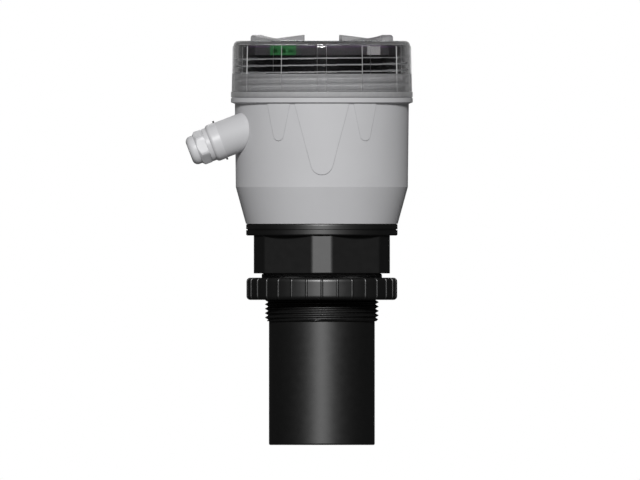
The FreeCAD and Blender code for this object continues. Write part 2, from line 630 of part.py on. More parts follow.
def round_off(body, name, radius, circles):
    """Round the circular edges given as (radius, height)."""
    base = body.Tip
    names = []
    for i, edge in enumerate(base.Shape.Edges, 1):
        if not isinstance(edge.Curve, Part.Circle):
            continue
        for r, z in circles:
            if abs(edge.Curve.Radius - r.value) < 1e-4 and abs(edge.Curve.Center.z - z.value) < 1e-4:
                names.append("Edge%d" % i)
    return add_feature(body, "Fillet", name, -1, Base=(base, names), Radius=radius)


def block(label, left, front, level, length, width, height):
    """A plain box with its left front lower corner at (left, front, level)."""
    box = doc.addObject("Part::Box", label)
    box.Label = label
    for key, size in (("Length", length), ("Width", width), ("Height", height)):
        box.setExpression(key, size.text)
    for key, size in (("x", left), ("y", front), ("z", level)):
        box.setExpression("Placement.Base." + key, size.text)
    NODES.append(box)


def disc(label, radius, level, height):
    """A plain disc on the main axis."""
    cylinder = doc.addObject("Part::Cylinder", label)
    cylinder.Label = label
    cylinder.setExpression("Radius", radius.text)
    cylinder.setExpression("Height", height.text)
    cylinder.setExpression("Placement.Base.z", level.text)
    NODES.append(cylinder)


def screws(label, level, circle_radius, count, head, shank, turn):
    """A ring of screws with their heads on level; head and shank are (radius, length)."""
    body = new_body(label, level, turn=turn)
    top = new_sketch(body, label + "_head_outline", "XY_Plane")
    circle(top, head[0], circle_radius)
    crown = pad(body, label + "_head", top, head[1])
    low = new_sketch(body, label + "_shank_outline", "XY_Plane")
    circle(low, shank[0], circle_radius)
    stem = pad(body, label + "_shank", low, shank[1], Reversed=True)
    ring_of(body, label + "_ring", [crown, stem], count, 1)


def holes(body, name, level, radius, depth, circle_radius, count):
    """A ring of plain holes, cut down from level."""
    sketch = new_sketch(body, name + "_outline", "XY_Plane", level)
    circle(sketch, radius, circle_radius)
    first = pocket(body, name, sketch, depth)
    ring_of(body, name + "_ring", [first], count, -1)


# Pieces

def hexagon(sketch, reach, corner_width):
    """A hexagon with a flat across each corner, reach from the axis, one of them facing the front."""
    half = corner_width / 2
    points = []
    for corner in range(6):
        turn = math.radians(30 + 60 * corner)
        c, s = math.cos(turn), math.sin(turn)
        points.append((reach * c + half * s, reach * s - half * c))
        points.append((reach * c - half * s, reach * s + half * c))
    outline(sketch, points)


def make_transducer_body():
    """Tube, thread stub, hexagon and flange, moulded in one and open at the top."""
    body = new_body("transducer_body")
    tube, thread = dim("tube_radius"), dim("thread_radius")
    lead = dim("thread_chamfer")
    turned(body, "tube_and_thread", [
        (ZERO, ZERO), (tube, ZERO), (tube, dim("tube_height")), (thread - lead, dim("tube_height")),
        (thread, dim("tube_height") + lead), (thread, THREAD_TOP), (ZERO, THREAD_TOP)])
    sketch = new_sketch(body, "hexagon_outline", "XY_Plane", THREAD_TOP)
    hexagon(sketch, HEX_REACH, dim("hex_corner_width"))
    pad(body, "hexagon", sketch, dim("hex_height"))
    rim = dim("flange_radius")
    middle = FLANGE_LOW + dim("flange_height") / 2
    half = dim("flange_groove_width") / 2
    root = rim - dim("flange_groove_depth")
    turned(body, "flange", [
        (ZERO, FLANGE_LOW), (rim, FLANGE_LOW), (rim, middle - half), (root, middle - half),
        (root, middle + half), (rim, middle + half), (rim, HOUSING_LOW), (ZERO, HOUSING_LOW)])
    round_off(body, "flange_rounding", dim("flange_edge"), [(rim, FLANGE_LOW), (rim, HOUSING_LOW)])
    round_off(body, "face_rounding", dim("tube_edge"), [(tube, ZERO)])
    turned(body, "hollow", [
        (ZERO, dim("face_thickness")), (TUBE_BORE, dim("face_thickness")),
        (TUBE_BORE, HOUSING_LOW), (ZERO, HOUSING_LOW)], cut=True)
    inner = dim("flange_seal_radius") - dim("flange_seal_fit")
    outer = dim("flange_seal_radius") + dim("flange_seal_width") + dim("flange_seal_fit")
    groove_low = HOUSING_LOW - dim("flange_seal_height")
    turned(body, "seal_groove", [
        (inner, groove_low), (outer, groove_low), (outer, HOUSING_LOW), (inner, HOUSING_LOW)], cut=True)
    holes(body, "flange_screw_holes", HOUSING_LOW, FLANGE_SCREW_HOLE, dim("flange_screw_depth"),
          dim("flange_screw_circle"), dim("flange_screw_count"))


def make_lock_nut():
    """Ring nut with upright ribs that run over its rounded edges."""
    body = new_body("lock_nut", NUT_LOW)
    height, rim, edge = dim("nut_height"), dim("nut_radius"), dim("nut_edge")
    turned(body, "ring", [
        (THREAD_BORE, ZERO), (rim - edge, ZERO, edge), (rim, edge), (rim, height - edge, edge),
        (rim - edge, height), (THREAD_BORE, height)])
    crest = rim + dim("nut_rib_height")
    root = rim - edge
    sketch = new_sketch(body, "rib_outline", "XZ_Plane", turn=dim("nut_rib_angle"))
    outline(sketch, [
        (root, ZERO), (crest - edge, ZERO, edge), (crest, edge), (crest, height - edge, edge),
        (crest - edge, height), (root, height)])
    rib = pad(body, "rib", sketch, dim("nut_rib_width"), SideType="Symmetric")
    ring_of(body, "ribs", [rib], dim("nut_rib_count"), 1)


def make_mounting_gasket():
    body = new_body("mounting_gasket", THREAD_TOP - dim("gasket_height"))
    height, rim, edge = dim("gasket_height"), dim("gasket_radius"), dim("gasket_edge")
    turned(body, "gasket_ring", [
        (THREAD_BORE, ZERO), (rim, ZERO), (rim, height - edge, edge), (rim - edge, height),
        (THREAD_BORE, height)])


def add_drips(body, lip_low, lip_top):
    """Tapered reliefs, cut back to a skin that follows the drafted barrel."""
    depth = dim("drip_depth")
    reliefs = [("drip", ZERO, ""), ("drip_left", -dim("side_drip_angle"), "side_"),
               ("drip_right", dim("side_drip_angle"), "side_")]
    for name, turn, prefix in reliefs:
        radius = dim(prefix + "drip_bottom_radius")
        centre = lip_low - dim(prefix + "drip_drop") + radius
        sketch = new_sketch(body, name + "_outline", "XZ_Plane", turn=turn if turn.value else None)
        drip_shape(sketch, dim(prefix + "drip_half_width"), lip_top, centre, radius)
        pad(body, name, sketch, dim("lip_radius"))
    beyond = dim("lip_radius") + dim("drip_half_width")
    foot = dim("barrel_low_radius") + depth
    head = dim("barrel_top_radius") + depth
    turned(body, "drip_skin", [
        (foot, dim("cone_height")), (beyond, dim("cone_height")), (beyond, lip_top), (head, lip_top),
        (head, lip_low)], cut=True)


def make_housing():
    """Cone, drafted barrel, lip and neck in one moulding, with the boss of the cable entry."""
    body = new_body("housing", HOUSING_LOW)
    barrel_low = dim("cone_height")
    lip_low = barrel_low + dim("barrel_height")
    lip_top = lip_low + dim("lip_height")
    neck_top = lip_top + dim("neck_height")
    lip, neck = dim("lip_radius"), dim("neck_radius")
    add_drips(body, lip_low, lip_top)
    turned(body, "shell", [
        (ZERO, ZERO), (dim("housing_base_radius"), ZERO), (dim("barrel_low_radius"), barrel_low),
        (dim("barrel_top_radius"), lip_low), (lip - dim("lip_chamfer"), lip_low),
        (lip, lip_low + dim("lip_chamfer")), (lip, lip_top), (neck, lip_top),
        (neck, neck_top - dim("neck_chamfer")), (neck - dim("neck_chamfer"), neck_top), (ZERO, neck_top)])
    end = new_sketch(body, "boss_outline", "XY_Plane")
    aim_at_gland(end, "AttachmentOffset", lip_low - dim("gland_drop"))
    circle(end, dim("boss_radius"))
    pad(body, "boss", end, dim("boss_depth"), Reversed=True)
    floor, bore = dim("floor_thickness"), dim("bore_radius")
    turned(body, "inside", [
        (ZERO, floor), (dim("floor_radius"), floor), (bore, floor + dim("bore_cone_height")),
        (bore, neck_top), (ZERO, neck_top)], cut=True)
    entry = new_sketch(body, "boss_bore_outline", "XY_Plane")
    aim_at_gland(entry, "AttachmentOffset", lip_low - dim("gland_drop"))
    circle(entry, dim("boss_bore"))
    pocket(body, "boss_hole", entry, dim("boss_depth"))
    wire = new_sketch(body, "wire_hole_outline", "XY_Plane", floor)
    circle(wire, dim("wire_hole_radius"))
    pocket(body, "wire_hole", wire, floor)
    holes(body, "floor_screw_holes", floor, FLANGE_SCREW_HOLE, floor,
          dim("flange_screw_circle"), dim("flange_screw_count"))


def make_flange_seal():
    body = new_body("flange_seal", HOUSING_LOW - dim("flange_seal_height"))
    inner, height = dim("flange_seal_radius"), dim("flange_seal_height")
    outer = inner + dim("flange_seal_width")
    turned(body, "flange_seal_ring", [(inner, ZERO), (outer, ZERO), (outer, height), (inner, height)])


def make_clear_cover():
    """Drafted cap with a bead round its rim, flat grip ribs and saw-tooth ramps on its top."""
    body = new_body("clear_cover", COVER_LOW)
    height, edge, inner_edge = dim("cover_height"), dim("cover_edge"), dim("cover_inner_edge")
    low, high = dim("cover_low_radius"), dim("cover_top_radius")
    inner_low, inner_high = COVER_BORE, high - dim("cover_wall")
    bead, bead_height = dim("cover_bead_radius"), dim("cover_bead_height")
    ceiling = height - dim("cover_top")
    pocket_radius = dim("cover_seal_outer") + dim("cover_seal_clearance")
    pocket_top = dim("cover_seal_height") - dim("cover_gap")
    turned(body, "cap", [
        (pocket_radius, ZERO), (bead, ZERO), (bead, bead_height), (low, bead_height),
        (high, height - edge, edge), (high - edge, height), (ZERO, height), (ZERO, ceiling),
        (inner_high - inner_edge, ceiling, -inner_edge), (inner_high, ceiling - inner_edge),
        (inner_low, pocket_top), (pocket_radius, pocket_top)])
    rise, root = dim("grip_rib_height"), dim("grip_rib_root")
    sketch = new_sketch(body, "grip_rib_outline", "XZ_Plane")
    outline(sketch, [
        (low - root, bead_height), (low + rise, bead_height), (high + rise, height - edge),
        (high - root, height - edge)])
    rib = pad(body, "grip_rib", sketch, dim("grip_rib_width"), SideType="Symmetric")
    ring_of(body, "grip_ribs", [rib], dim("grip_rib_count"), 1)
    add_ramps(body, height)


def add_ramps(body, height):
    """Saw teeth: parts of a ring with a steep radial end, sloped down to the top plate."""
    inner, outer, edge = dim("ramp_inner"), dim("ramp_outer"), dim("ramp_edge")
    crest = height + dim("ramp_height")
    root = height - dim("ramp_root")
    sketch = new_sketch(body, "ramp_section", "XZ_Plane", turn=dim("ramp_angle"))
    outline(sketch, [
        (inner, root), (outer, root), (outer, crest - edge, edge), (outer - edge, crest), (inner, crest)])
    ring = add_feature(body, "Revolution", "ramp_ring", 1, Profile=sketch, ReferenceAxis=(sketch, ["V_Axis"]),
                       Angle=as_size(240) / dim("ramp_count"))
    above = crest + dim("ramp_root")
    slope = new_sketch(body, "ramp_slope", "YZ_Plane", lift=outer + edge, turn=dim("ramp_angle"))
    outline(slope, [
        (ZERO, crest), (dim("ramp_length"), height), (outer, height), (outer, above), (ZERO, above)])
    cut = pocket(body, "ramp_cut", slope, outer)
    ring_of(body, "ramps", [ring, cut], dim("ramp_count"), 1)


def make_cover_seal():
    """Ring in the cover's rim, with a thin lip that fills the gap between the cover and the housing."""
    body = new_body("cover_seal", LIP_TOP)
    inner, outer, height = dim("cover_seal_inner"), dim("cover_seal_outer"), dim("cover_seal_height")
    lip, lip_height = dim("cover_bead_radius") - dim("cover_seal_lip_inset"), dim("cover_gap")
    turned(body, "cover_seal_ring", [
        (inner, ZERO), (lip, ZERO), (lip, lip_height), (outer, lip_height), (outer, height), (inner, height)])


def make_gland():
    """Gasket, body, rubber seal and domed nut of the cable gland, along the cable entry."""
    body = new_gland_body("gland_gasket")
    height, rim = dim("gland_gasket_height"), dim("gland_gasket_radius")
    turned(body, "gland_gasket_ring", [
        (dim("boss_bore"), ZERO), (rim, ZERO), (rim, height), (dim("boss_bore"), height)])
    sketch = new_sketch(body, "gasket_tab_outline", "XY_Plane")
    half = dim("gasket_tab_width") / 2
    rectangle(sketch, dim("boss_bore") + half, -half, dim("boss_radius") + dim("gasket_tab_rise"), half)
    tab = pad(body, "gasket_tab", sketch, height)
    ring_of(body, "gasket_tabs", [tab], dim("gasket_tab_count"), 1)

    body = new_gland_body("gland_body")
    bore, shank = dim("gland_bore"), GLAND_SHANK
    collar, ring, stub = dim("collar_radius"), dim("gland_ring_radius"), dim("gland_stub_radius")
    recess = rim + dim("gland_fit")
    turned(body, "gland_turning", [
        (bore, -dim("gland_shank")), (shank, -dim("gland_shank")), (shank, height), (recess, height),
        (recess, ZERO), (collar, ZERO),
        (collar, COLLAR_END - dim("collar_shoulder"), dim("collar_edge")), (ring, COLLAR_END),
        (ring, RING_END), (stub, RING_END), (stub, STUB_END), (bore, STUB_END)])
    sketch = new_sketch(body, "tab_notch_outline", "XY_Plane", height)
    rectangle(sketch, rim, -half - dim("gland_fit"), collar + half, half + dim("gland_fit"))
    notch = pocket(body, "tab_notch", sketch, height)
    ring_of(body, "tab_notches", [notch], dim("gasket_tab_count"), -1)

    body = new_gland_body("gland_seal")
    cable, sleeve, head = dim("cable_radius"), SEAL_SLEEVE, stub
    sleeve_low = STUB_END - dim("gland_seal_length")
    turned(body, "gland_seal_sleeve", [
        (cable, sleeve_low), (sleeve, sleeve_low), (sleeve, STUB_END), (head, STUB_END), (head, SEAL_END),
        (cable, SEAL_END)])

    body = new_gland_body("gland_nut")
    sketch = new_sketch(body, "gland_hexagon_outline", "XY_Plane", RING_END)
    points = []
    for corner in range(6):
        turn = math.radians(60 * corner + dim("gland_nut_angle").value)
        reach = dim("gland_nut_flats") / (2 * math.cos(math.radians(30)))
        points.append((reach * math.cos(turn), reach * math.sin(turn)))
    outline(sketch, points)
    pad(body, "gland_hexagon", sketch, dim("gland_hex_length"))
    corner, chamfer = dim("gland_nut_corner"), dim("gland_nut_chamfer")
    beyond = dim("gland_nut_flats")
    turned(body, "gland_corner_trim", [
        (corner - chamfer, RING_END), (beyond, RING_END), (beyond, GLAND_HEX_END),
        (corner - chamfer, GLAND_HEX_END), (corner, GLAND_HEX_END - chamfer), (corner, RING_END + chamfer)],
        cut=True)
    dome, rounding = dim("dome_radius"), dim("dome_edge")
    turned(body, "dome", [
        (ZERO, GLAND_HEX_END), (dome, GLAND_HEX_END), (dome, GLAND_END - rounding, rounding),
        (dome - rounding, GLAND_END), (ZERO, GLAND_END)])
    inside, hole = GLAND_NUT_BORE, dim("dome_hole")
    turned(body, "gland_nut_bore", [
        (ZERO, RING_END), (inside, RING_END), (inside, SEAL_END), (hole, SEAL_END), (hole, GLAND_END),
        (ZERO, GLAND_END)], cut=True)


def make_display():
    """Carrier drum, display board, bezel, label and panel, stacked on the neck."""
    body = new_body("display_carrier", NECK_TOP)
    inside = dim("carrier_radius") - dim("carrier_wall")
    spigot = dim("bore_radius") - dim("carrier_fit")
    foot, drum = dim("carrier_foot_radius"), dim("carrier_radius")
    turned(body, "drum", [
        (inside, -dim("carrier_spigot")), (spigot, -dim("carrier_spigot")), (spigot, ZERO), (foot, ZERO),
        (foot, dim("carrier_foot_height")), (drum, dim("carrier_foot_height")),
        (drum, dim("carrier_height")), (inside, dim("carrier_height"))])
    disc("display_board", dim("display_board_radius"), DISPLAY_LOW, dim("board_thickness"))

    bezel = new_body("display_bezel", DISPLAY_TOP)
    sketch = new_sketch(bezel, "bezel_outline", "XY_Plane")
    d_shape(sketch, dim("bezel_radius"), dim("bezel_chord"))
    pad(bezel, "bezel_block", sketch, dim("bezel_height"))
    sketch = new_sketch(bezel, "bezel_inside_outline", "XY_Plane")
    d_shape(sketch, dim("bezel_radius") - dim("bezel_wall"), dim("bezel_chord") - dim("bezel_wall"))
    pocket(bezel, "bezel_inside", sketch, dim("bezel_height") - dim("bezel_top"), Reversed=True)
    open_face(bezel, "bezel", dim("bezel_height"), dim("bezel_top"))

    label = new_body("face_label", BEZEL_TOP)
    sketch = new_sketch(label, "label_outline", "XY_Plane")
    d_shape(sketch, dim("bezel_radius") - dim("label_margin"), dim("bezel_chord") - dim("label_margin"))
    pad(label, "label_sheet", sketch, dim("label_thickness"))
    open_face(label, "label", dim("label_thickness"), dim("label_thickness"))

    block("lcd_panel", -dim("lcd_length") / 2, dim("lcd_rear_shift") - dim("lcd_width") / 2, DISPLAY_TOP,
          dim("lcd_length"), dim("lcd_width"), dim("lcd_thickness"))


def first_key_across():
    return -dim("key_pitch") * (dim("key_count") - 1) / 2


def open_face(body, name, level, depth):
    """Cut the panel's window and the row of key holes down from level."""
    window = new_sketch(body, name + "_window_outline", "XY_Plane", level)
    half_length = dim("lcd_length") / 2 - dim("lcd_cover")
    half_width = dim("lcd_width") / 2 - dim("lcd_cover")
    middle = dim("lcd_rear_shift")
    rectangle(window, -half_length, middle - half_width, half_length, middle + half_width)
    pocket(body, name + "_window", window, depth)
    hole = new_sketch(body, name + "_key_outline", "XY_Plane", level)
    circle(hole, KEY_HOLE, first_key_across(), -dim("key_forward"))
    first = pocket(body, name + "_key_hole", hole, depth)
    row_of(body, name + "_key_holes", [first], dim("key_count"), dim("key_pitch"), -1)


def make_keys():
    """Push keys held under the bezel by their flanges, each over a switch on the display board."""
    low = DISPLAY_TOP + KEY_FLANGE_LOW
    cap = dim("key_radius")
    flange = cap + dim("key_flange")
    top = KEY_TOP - low
    for number in range(dim("key_count").value):
        across = first_key_across() + dim("key_pitch") * number
        body = new_body("key_%d" % (number + 1), low, across, -dim("key_forward"))
        turned(body, "cap_%d" % (number + 1), [
            (ZERO, ZERO), (flange, ZERO), (flange, dim("key_flange_height")), (cap, dim("key_flange_height")),
            (cap, top), (ZERO, top)])
        round_off(body, "cap_rounding_%d" % (number + 1), dim("key_edge"), [(cap, top)])
    body = new_body("key_switches", DISPLAY_TOP, along=-dim("key_forward"))
    sketch = new_sketch(body, "switch_outline", "XY_Plane")
    half = dim("switch_size") / 2
    left = first_key_across() - half
    rectangle(sketch, left, -half, left + dim("switch_size"), half)
    first = pad(body, "switch", sketch, KEY_FLANGE_LOW - dim("key_travel"))
    row_of(body, "switches", [first], dim("key_count"), dim("key_pitch"), 1)


def make_terminals():
    """Terminal block with its screws, and the connector, on the front of the display board."""
    body = new_body("terminal_block", DISPLAY_TOP, -dim("terminal_left"), -dim("terminal_front"))
    ways, pitch = dim("terminal_ways"), dim("terminal_pitch")
    sketch = new_sketch(body, "terminal_outline", "XY_Plane")
    rectangle(sketch, ZERO, ZERO, dim("terminal_length"), dim("terminal_width"))
    pad(body, "terminal_case", sketch, dim("terminal_height"))
    first_way = (dim("terminal_length") - pitch * (ways - 1)) / 2
    slot = dim("wire_slot_size")
    sketch = new_sketch(body, "wire_slot_outline", "XZ_Plane")
    rectangle(sketch, first_way - slot / 2, dim("wire_slot_low"), first_way + slot / 2,
              dim("wire_slot_low") + slot)
    first = pocket(body, "wire_slot", sketch, dim("wire_slot_depth"))
    row_of(body, "wire_slots", [first], ways, pitch, -1)
    middle = dim("terminal_width") / 2
    sketch = new_sketch(body, "well_outline", "XY_Plane", dim("terminal_height"))
    circle(sketch, dim("terminal_well"), first_way, middle)
    first = pocket(body, "well", sketch, dim("terminal_well_depth"))
    row_of(body, "wells", [first], ways, pitch, -1)

    well_floor = DISPLAY_TOP + dim("terminal_height") - dim("terminal_well_depth")
    body = new_body("terminal_screws", well_floor, first_way - dim("terminal_left"),
                    middle - dim("terminal_front"))
    sketch = new_sketch(body, "terminal_screw_outline", "XY_Plane")
    circle(sketch, dim("terminal_screw_radius"))
    head = pad(body, "terminal_screw", sketch, dim("terminal_screw_height"))
    sketch = new_sketch(body, "terminal_slot_outline", "XY_Plane", dim("terminal_screw_height"))
    half = dim("terminal_screw_slot") / 2
    reach = dim("terminal_well")
    rectangle(sketch, -half, -reach, half, reach)
    cut = pocket(body, "terminal_slot", sketch, dim("terminal_slot_depth"))
    row_of(body, "terminal_screw_row", [head, cut], ways, pitch, 1)

    body = new_body("connector", DISPLAY_TOP, dim("connector_left"), -dim("connector_front"))
    sketch = new_sketch(body, "connector_outline", "XY_Plane")
    rectangle(sketch, ZERO, ZERO, dim("connector_length"), dim("connector_width"))
    pad(body, "connector_case", sketch, dim("connector_height"))
    ways, pitch = dim("connector_ways"), dim("connector_pitch")
    half = dim("connector_slot_width") / 2
    first_way = (dim("connector_length") - pitch * (ways - 1)) / 2
    sketch = new_sketch(body, "connector_slot_outline", "XZ_Plane")
    rectangle(sketch, first_way - half, dim("connector_slot_low"), first_way + half, dim("connector_height"))
    first = pocket(body, "connector_slot", sketch, dim("connector_slot_depth"))
    row_of(body, "connector_slots", [first], ways, pitch, -1)


def make_main_board():
    """Main board on its posts, with the parts that drive the sensor and the cable to the display."""
    body = new_body("main_board", MAIN_BOARD_LOW, turn=dim("standoff_angle"))
    sketch = new_sketch(body, "main_board_outline", "XY_Plane")
    circle(sketch, dim("main_board_radius"))
    pad(body, "main_board_sheet", sketch, dim("board_thickness"))
    shank_hole = dim("board_screw_radius") + dim("board_screw_fit")
    holes(body, "board_holes", dim("board_thickness"), shank_hole, dim("board_thickness"),
          dim("standoff_circle"), dim("standoff_count"))

    body = new_body("standoffs", FLOOR_TOP, turn=dim("standoff_angle"))
    sketch = new_sketch(body, "standoff_outline", "XY_Plane")
    circle(sketch, dim("standoff_radius"), dim("standoff_circle"))
    post = pad(body, "standoff", sketch, dim("standoff_height"))
    sketch = new_sketch(body, "standoff_hole_outline", "XY_Plane", dim("standoff_height"))
    circle(sketch, shank_hole, dim("standoff_circle"))
    hole = pocket(body, "standoff_hole", sketch, dim("board_screw_depth"))
    ring_of(body, "standoff_ring", [post, hole], dim("standoff_count"), 1)

    screws("board_screws", MAIN_BOARD_TOP, dim("standoff_circle"), dim("standoff_count"),
           (dim("board_head_radius"), dim("board_head_height")),
           (dim("board_screw_radius"), dim("board_screw_depth") + dim("board_thickness")),
           dim("standoff_angle"))
    screws("flange_screws", FLOOR_TOP, dim("flange_screw_circle"), dim("flange_screw_count"),
           (dim("flange_head_radius"), dim("flange_head_height")),
           (dim("flange_screw_radius"), dim("flange_screw_depth") + dim("floor_thickness")), ZERO)

    block("pulse_transformer", dim("transformer_right"), -dim("transformer_width") / 2, MAIN_BOARD_TOP,
          dim("transformer_length"), dim("transformer_width"), dim("transformer_height"))
    body = new_body("capacitors", MAIN_BOARD_TOP, -dim("capacitor_left"), turn=as_size(90))
    sketch = new_sketch(body, "capacitor_outline", "XY_Plane")
    circle(sketch, dim("capacitor_radius"), -dim("capacitor_pitch") * (dim("capacitor_count") - 1) / 2)
    can = pad(body, "capacitor", sketch, dim("capacitor_height"))
    row_of(body, "capacitor_row", [can], dim("capacitor_count"), dim("capacitor_pitch"), 1)
    block("display_ribbon", -dim("ribbon_width") / 2, dim("ribbon_rear"), MAIN_BOARD_TOP,
          dim("ribbon_width"), dim("ribbon_thickness"), DISPLAY_LOW - MAIN_BOARD_TOP)


def make_sensor():
    """Matching layer, piezo disc, damping ring and potting in the tube, and the leads to the main board."""
    disc("matching_layer", SENSOR_RADIUS, dim("face_thickness"), dim("matching_height"))
    disc("piezo_disc", dim("piezo_radius"), MATCHING_TOP, dim("piezo_height"))
    body = new_body("damping_ring", MATCHING_TOP)
    height = dim("piezo_height")
    turned(body, "damping", [
        (DAMPING_BORE, ZERO), (SENSOR_RADIUS, ZERO), (SENSOR_RADIUS, height), (DAMPING_BORE, height)])
    disc("potting", SENSOR_RADIUS, PIEZO_TOP, dim("potting_height"))
    body = new_body("transducer_leads", POTTING_TOP)
    sketch = new_sketch(body, "lead_outline", "XY_Plane")
    circle(sketch, dim("lead_radius"), -dim("lead_spacing") / 2)
    lead = pad(body, "lead", sketch, MAIN_BOARD_LOW - POTTING_TOP)
    row_of(body, "leads", [lead], as_size(2), dim("lead_spacing"), 1)


def write_parts():
    """Check every object, then write each piece to its own file."""
    doc.recompute()
    failed = [item.Label for item in doc.Objects if {"Invalid", "Error"} & set(item.State)]
    failed += [node.Label for node in NODES if node.Shape.isNull() or not node.Shape.isValid()]
    if failed:
        raise RuntimeError("failed: " + ", ".join(failed))
    os.makedirs("parts", exist_ok=True)
    for node in NODES:
        node.Shape.exportStep("parts/%s.step" % node.Label)


make_transducer_body()
make_lock_nut()
make_mounting_gasket()
make_housing()
make_flange_seal()
make_clear_cover()
make_cover_seal()
make_gland()
make_display()
make_keys()
make_terminals()
make_main_board()
make_sensor()
write_parts()
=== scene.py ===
import math

import bmesh
import bpy
from bpy.props import FloatProperty, FloatVectorProperty, IntProperty, PointerProperty
from bpy.types import Operator, Panel, PropertyGroup
from mathutils import Matrix, Vector


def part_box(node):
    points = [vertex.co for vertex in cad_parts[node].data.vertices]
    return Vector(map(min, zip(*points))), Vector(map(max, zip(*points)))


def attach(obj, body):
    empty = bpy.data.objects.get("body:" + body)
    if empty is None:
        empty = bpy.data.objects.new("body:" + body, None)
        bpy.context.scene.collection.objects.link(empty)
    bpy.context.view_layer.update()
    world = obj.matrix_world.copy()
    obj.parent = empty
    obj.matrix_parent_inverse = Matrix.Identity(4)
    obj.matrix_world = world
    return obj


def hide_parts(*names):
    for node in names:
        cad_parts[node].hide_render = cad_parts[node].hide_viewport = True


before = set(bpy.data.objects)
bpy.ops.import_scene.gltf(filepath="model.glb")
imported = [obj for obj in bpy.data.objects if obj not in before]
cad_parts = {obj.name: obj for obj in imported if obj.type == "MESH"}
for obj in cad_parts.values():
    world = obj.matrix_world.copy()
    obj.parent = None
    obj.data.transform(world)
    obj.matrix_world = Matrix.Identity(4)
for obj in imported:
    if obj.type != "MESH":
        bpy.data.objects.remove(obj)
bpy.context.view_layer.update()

bl_info = {
    "name": "Ultrasonic level transmitter",
    "version": (1, 0, 0),
    "blender": (4, 5, 0),
    "location": "View3D > Sidebar > Transmitter",
    "description": "Models the visible pieces of a level transmitter round its solid frame",
    "category": "Object",
}

MM = 0.001
FULL_TURN = 2 * math.pi

# Columns of a lathed piece, and rows to one turn of the pipe thread and of the cover's thread
COLUMNS = 240
THREAD_ROWS = 16
RIDGE_ROWS = 20

# The cover's uppermost ridge at +X, below the upper end of its thread
RIDGE_DROP = 0.2 * MM

# Distances under which points are one, lie on a face, or lie close to it
MERGE = 1e-7
NEAR = 1e-6
MARGIN = 1e-5

# Levels that the frame gives
HOUSING_LOW, NECK_TOP = (corner.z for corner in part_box("housing"))
NUT_LOW, NUT_HIGH = (corner.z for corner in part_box("lock_nut"))
COVER_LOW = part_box("clear_cover")[0].z
LIP_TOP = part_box("cover_seal")[0].z
THREAD_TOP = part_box("mounting_gasket")[1].z
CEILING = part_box("key_1")[1].z


def length(name, text, millimetres):
    return FloatProperty(name=name, description=text, default=millimetres * MM, precision=5,
                         unit="LENGTH", subtype="DISTANCE")


def angle(name, text, degrees):
    return FloatProperty(name=name, description=text, default=math.radians(degrees),
                         unit="ROTATION", subtype="ANGLE")


def level(name, text, value):
    return FloatProperty(name=name, description=text, default=value, min=0, subtype="FACTOR")


def count(name, text, value):
    return IntProperty(name=name, description=text, default=value, min=1)


def colour(name, text, value):
    return FloatVectorProperty(name=name, description=text, default=value, size=3, min=0, max=1,
                               subtype="COLOR")


class TransducerSizes(PropertyGroup):
    """Sizes of the black moulding with sensor tube, pipe thread, hexagon and flange"""
    tube_radius: length("Tube radius", "Outside of the sensor tube", 27.8)
    tube_height: length("Tube height", "Plain tube below the thread", 65.0)
    tube_edge: length("Tube edge", "Rounding of the sensor face", 0.8)
    bore_radius: length("Bore radius", "Inside of the tube", 24.0)
    face_thickness: length("Face thickness", "Closed end of the tube", 3.0)
    thread_radius: length("Thread radius", "Crest of the pipe thread", 29.807)
    thread_depth: length("Thread depth", "Crest to root of the thread", 1.479)
    thread_pitch: length("Thread pitch", "Rise of the thread in one turn", 2.309)
    thread_lead: length("Thread lead", "Chamfer at the thread's lower end", 1.2)
    hex_flat: length("Hexagon flat", "Distance of a flat from the axis", 35.75)
    hex_corner: length("Hexagon corner", "A corner's small flat from the axis", 38.25)
    hex_height: length("Hexagon height", "Height of the hexagon", 19.9)
    hex_edge: length("Hexagon edge", "Softening of the hexagon's edges", 0.3)
    flange_radius: length("Flange radius", "Round flange under the housing", 39.75)
    flange_edge: length("Flange edge", "Rounding of the flange", 0.8)
    groove_width: length("Groove width", "Groove round the flange", 0.5)
    groove_depth: length("Groove depth", "Depth of that groove", 0.7)
    seal_inner: length("Seal groove inside", "Inner wall of the seal's groove", 32.9)
    seal_outer: length("Seal groove outside", "Outer wall of the seal's groove", 36.1)
    seal_depth: length("Seal groove depth", "Depth of the seal's groove", 1.8)


class NutSizes(PropertyGroup):
    """Sizes of the ribbed lock nut"""
    radius: length("Radius", "Nut between its ribs", 39.2)
    edge: length("Edge", "Rounding of the nut", 2.0)
    rib_count: count("Ribs", "Upright grip ribs", 30)
    rib_width: length("Rib width", "Width of a half-round rib", 1.5)
    rib_height: length("Rib height", "How far a rib stands out", 0.6)
    clearance: length("Clearance", "Gap between nut and pipe thread", 0.3)


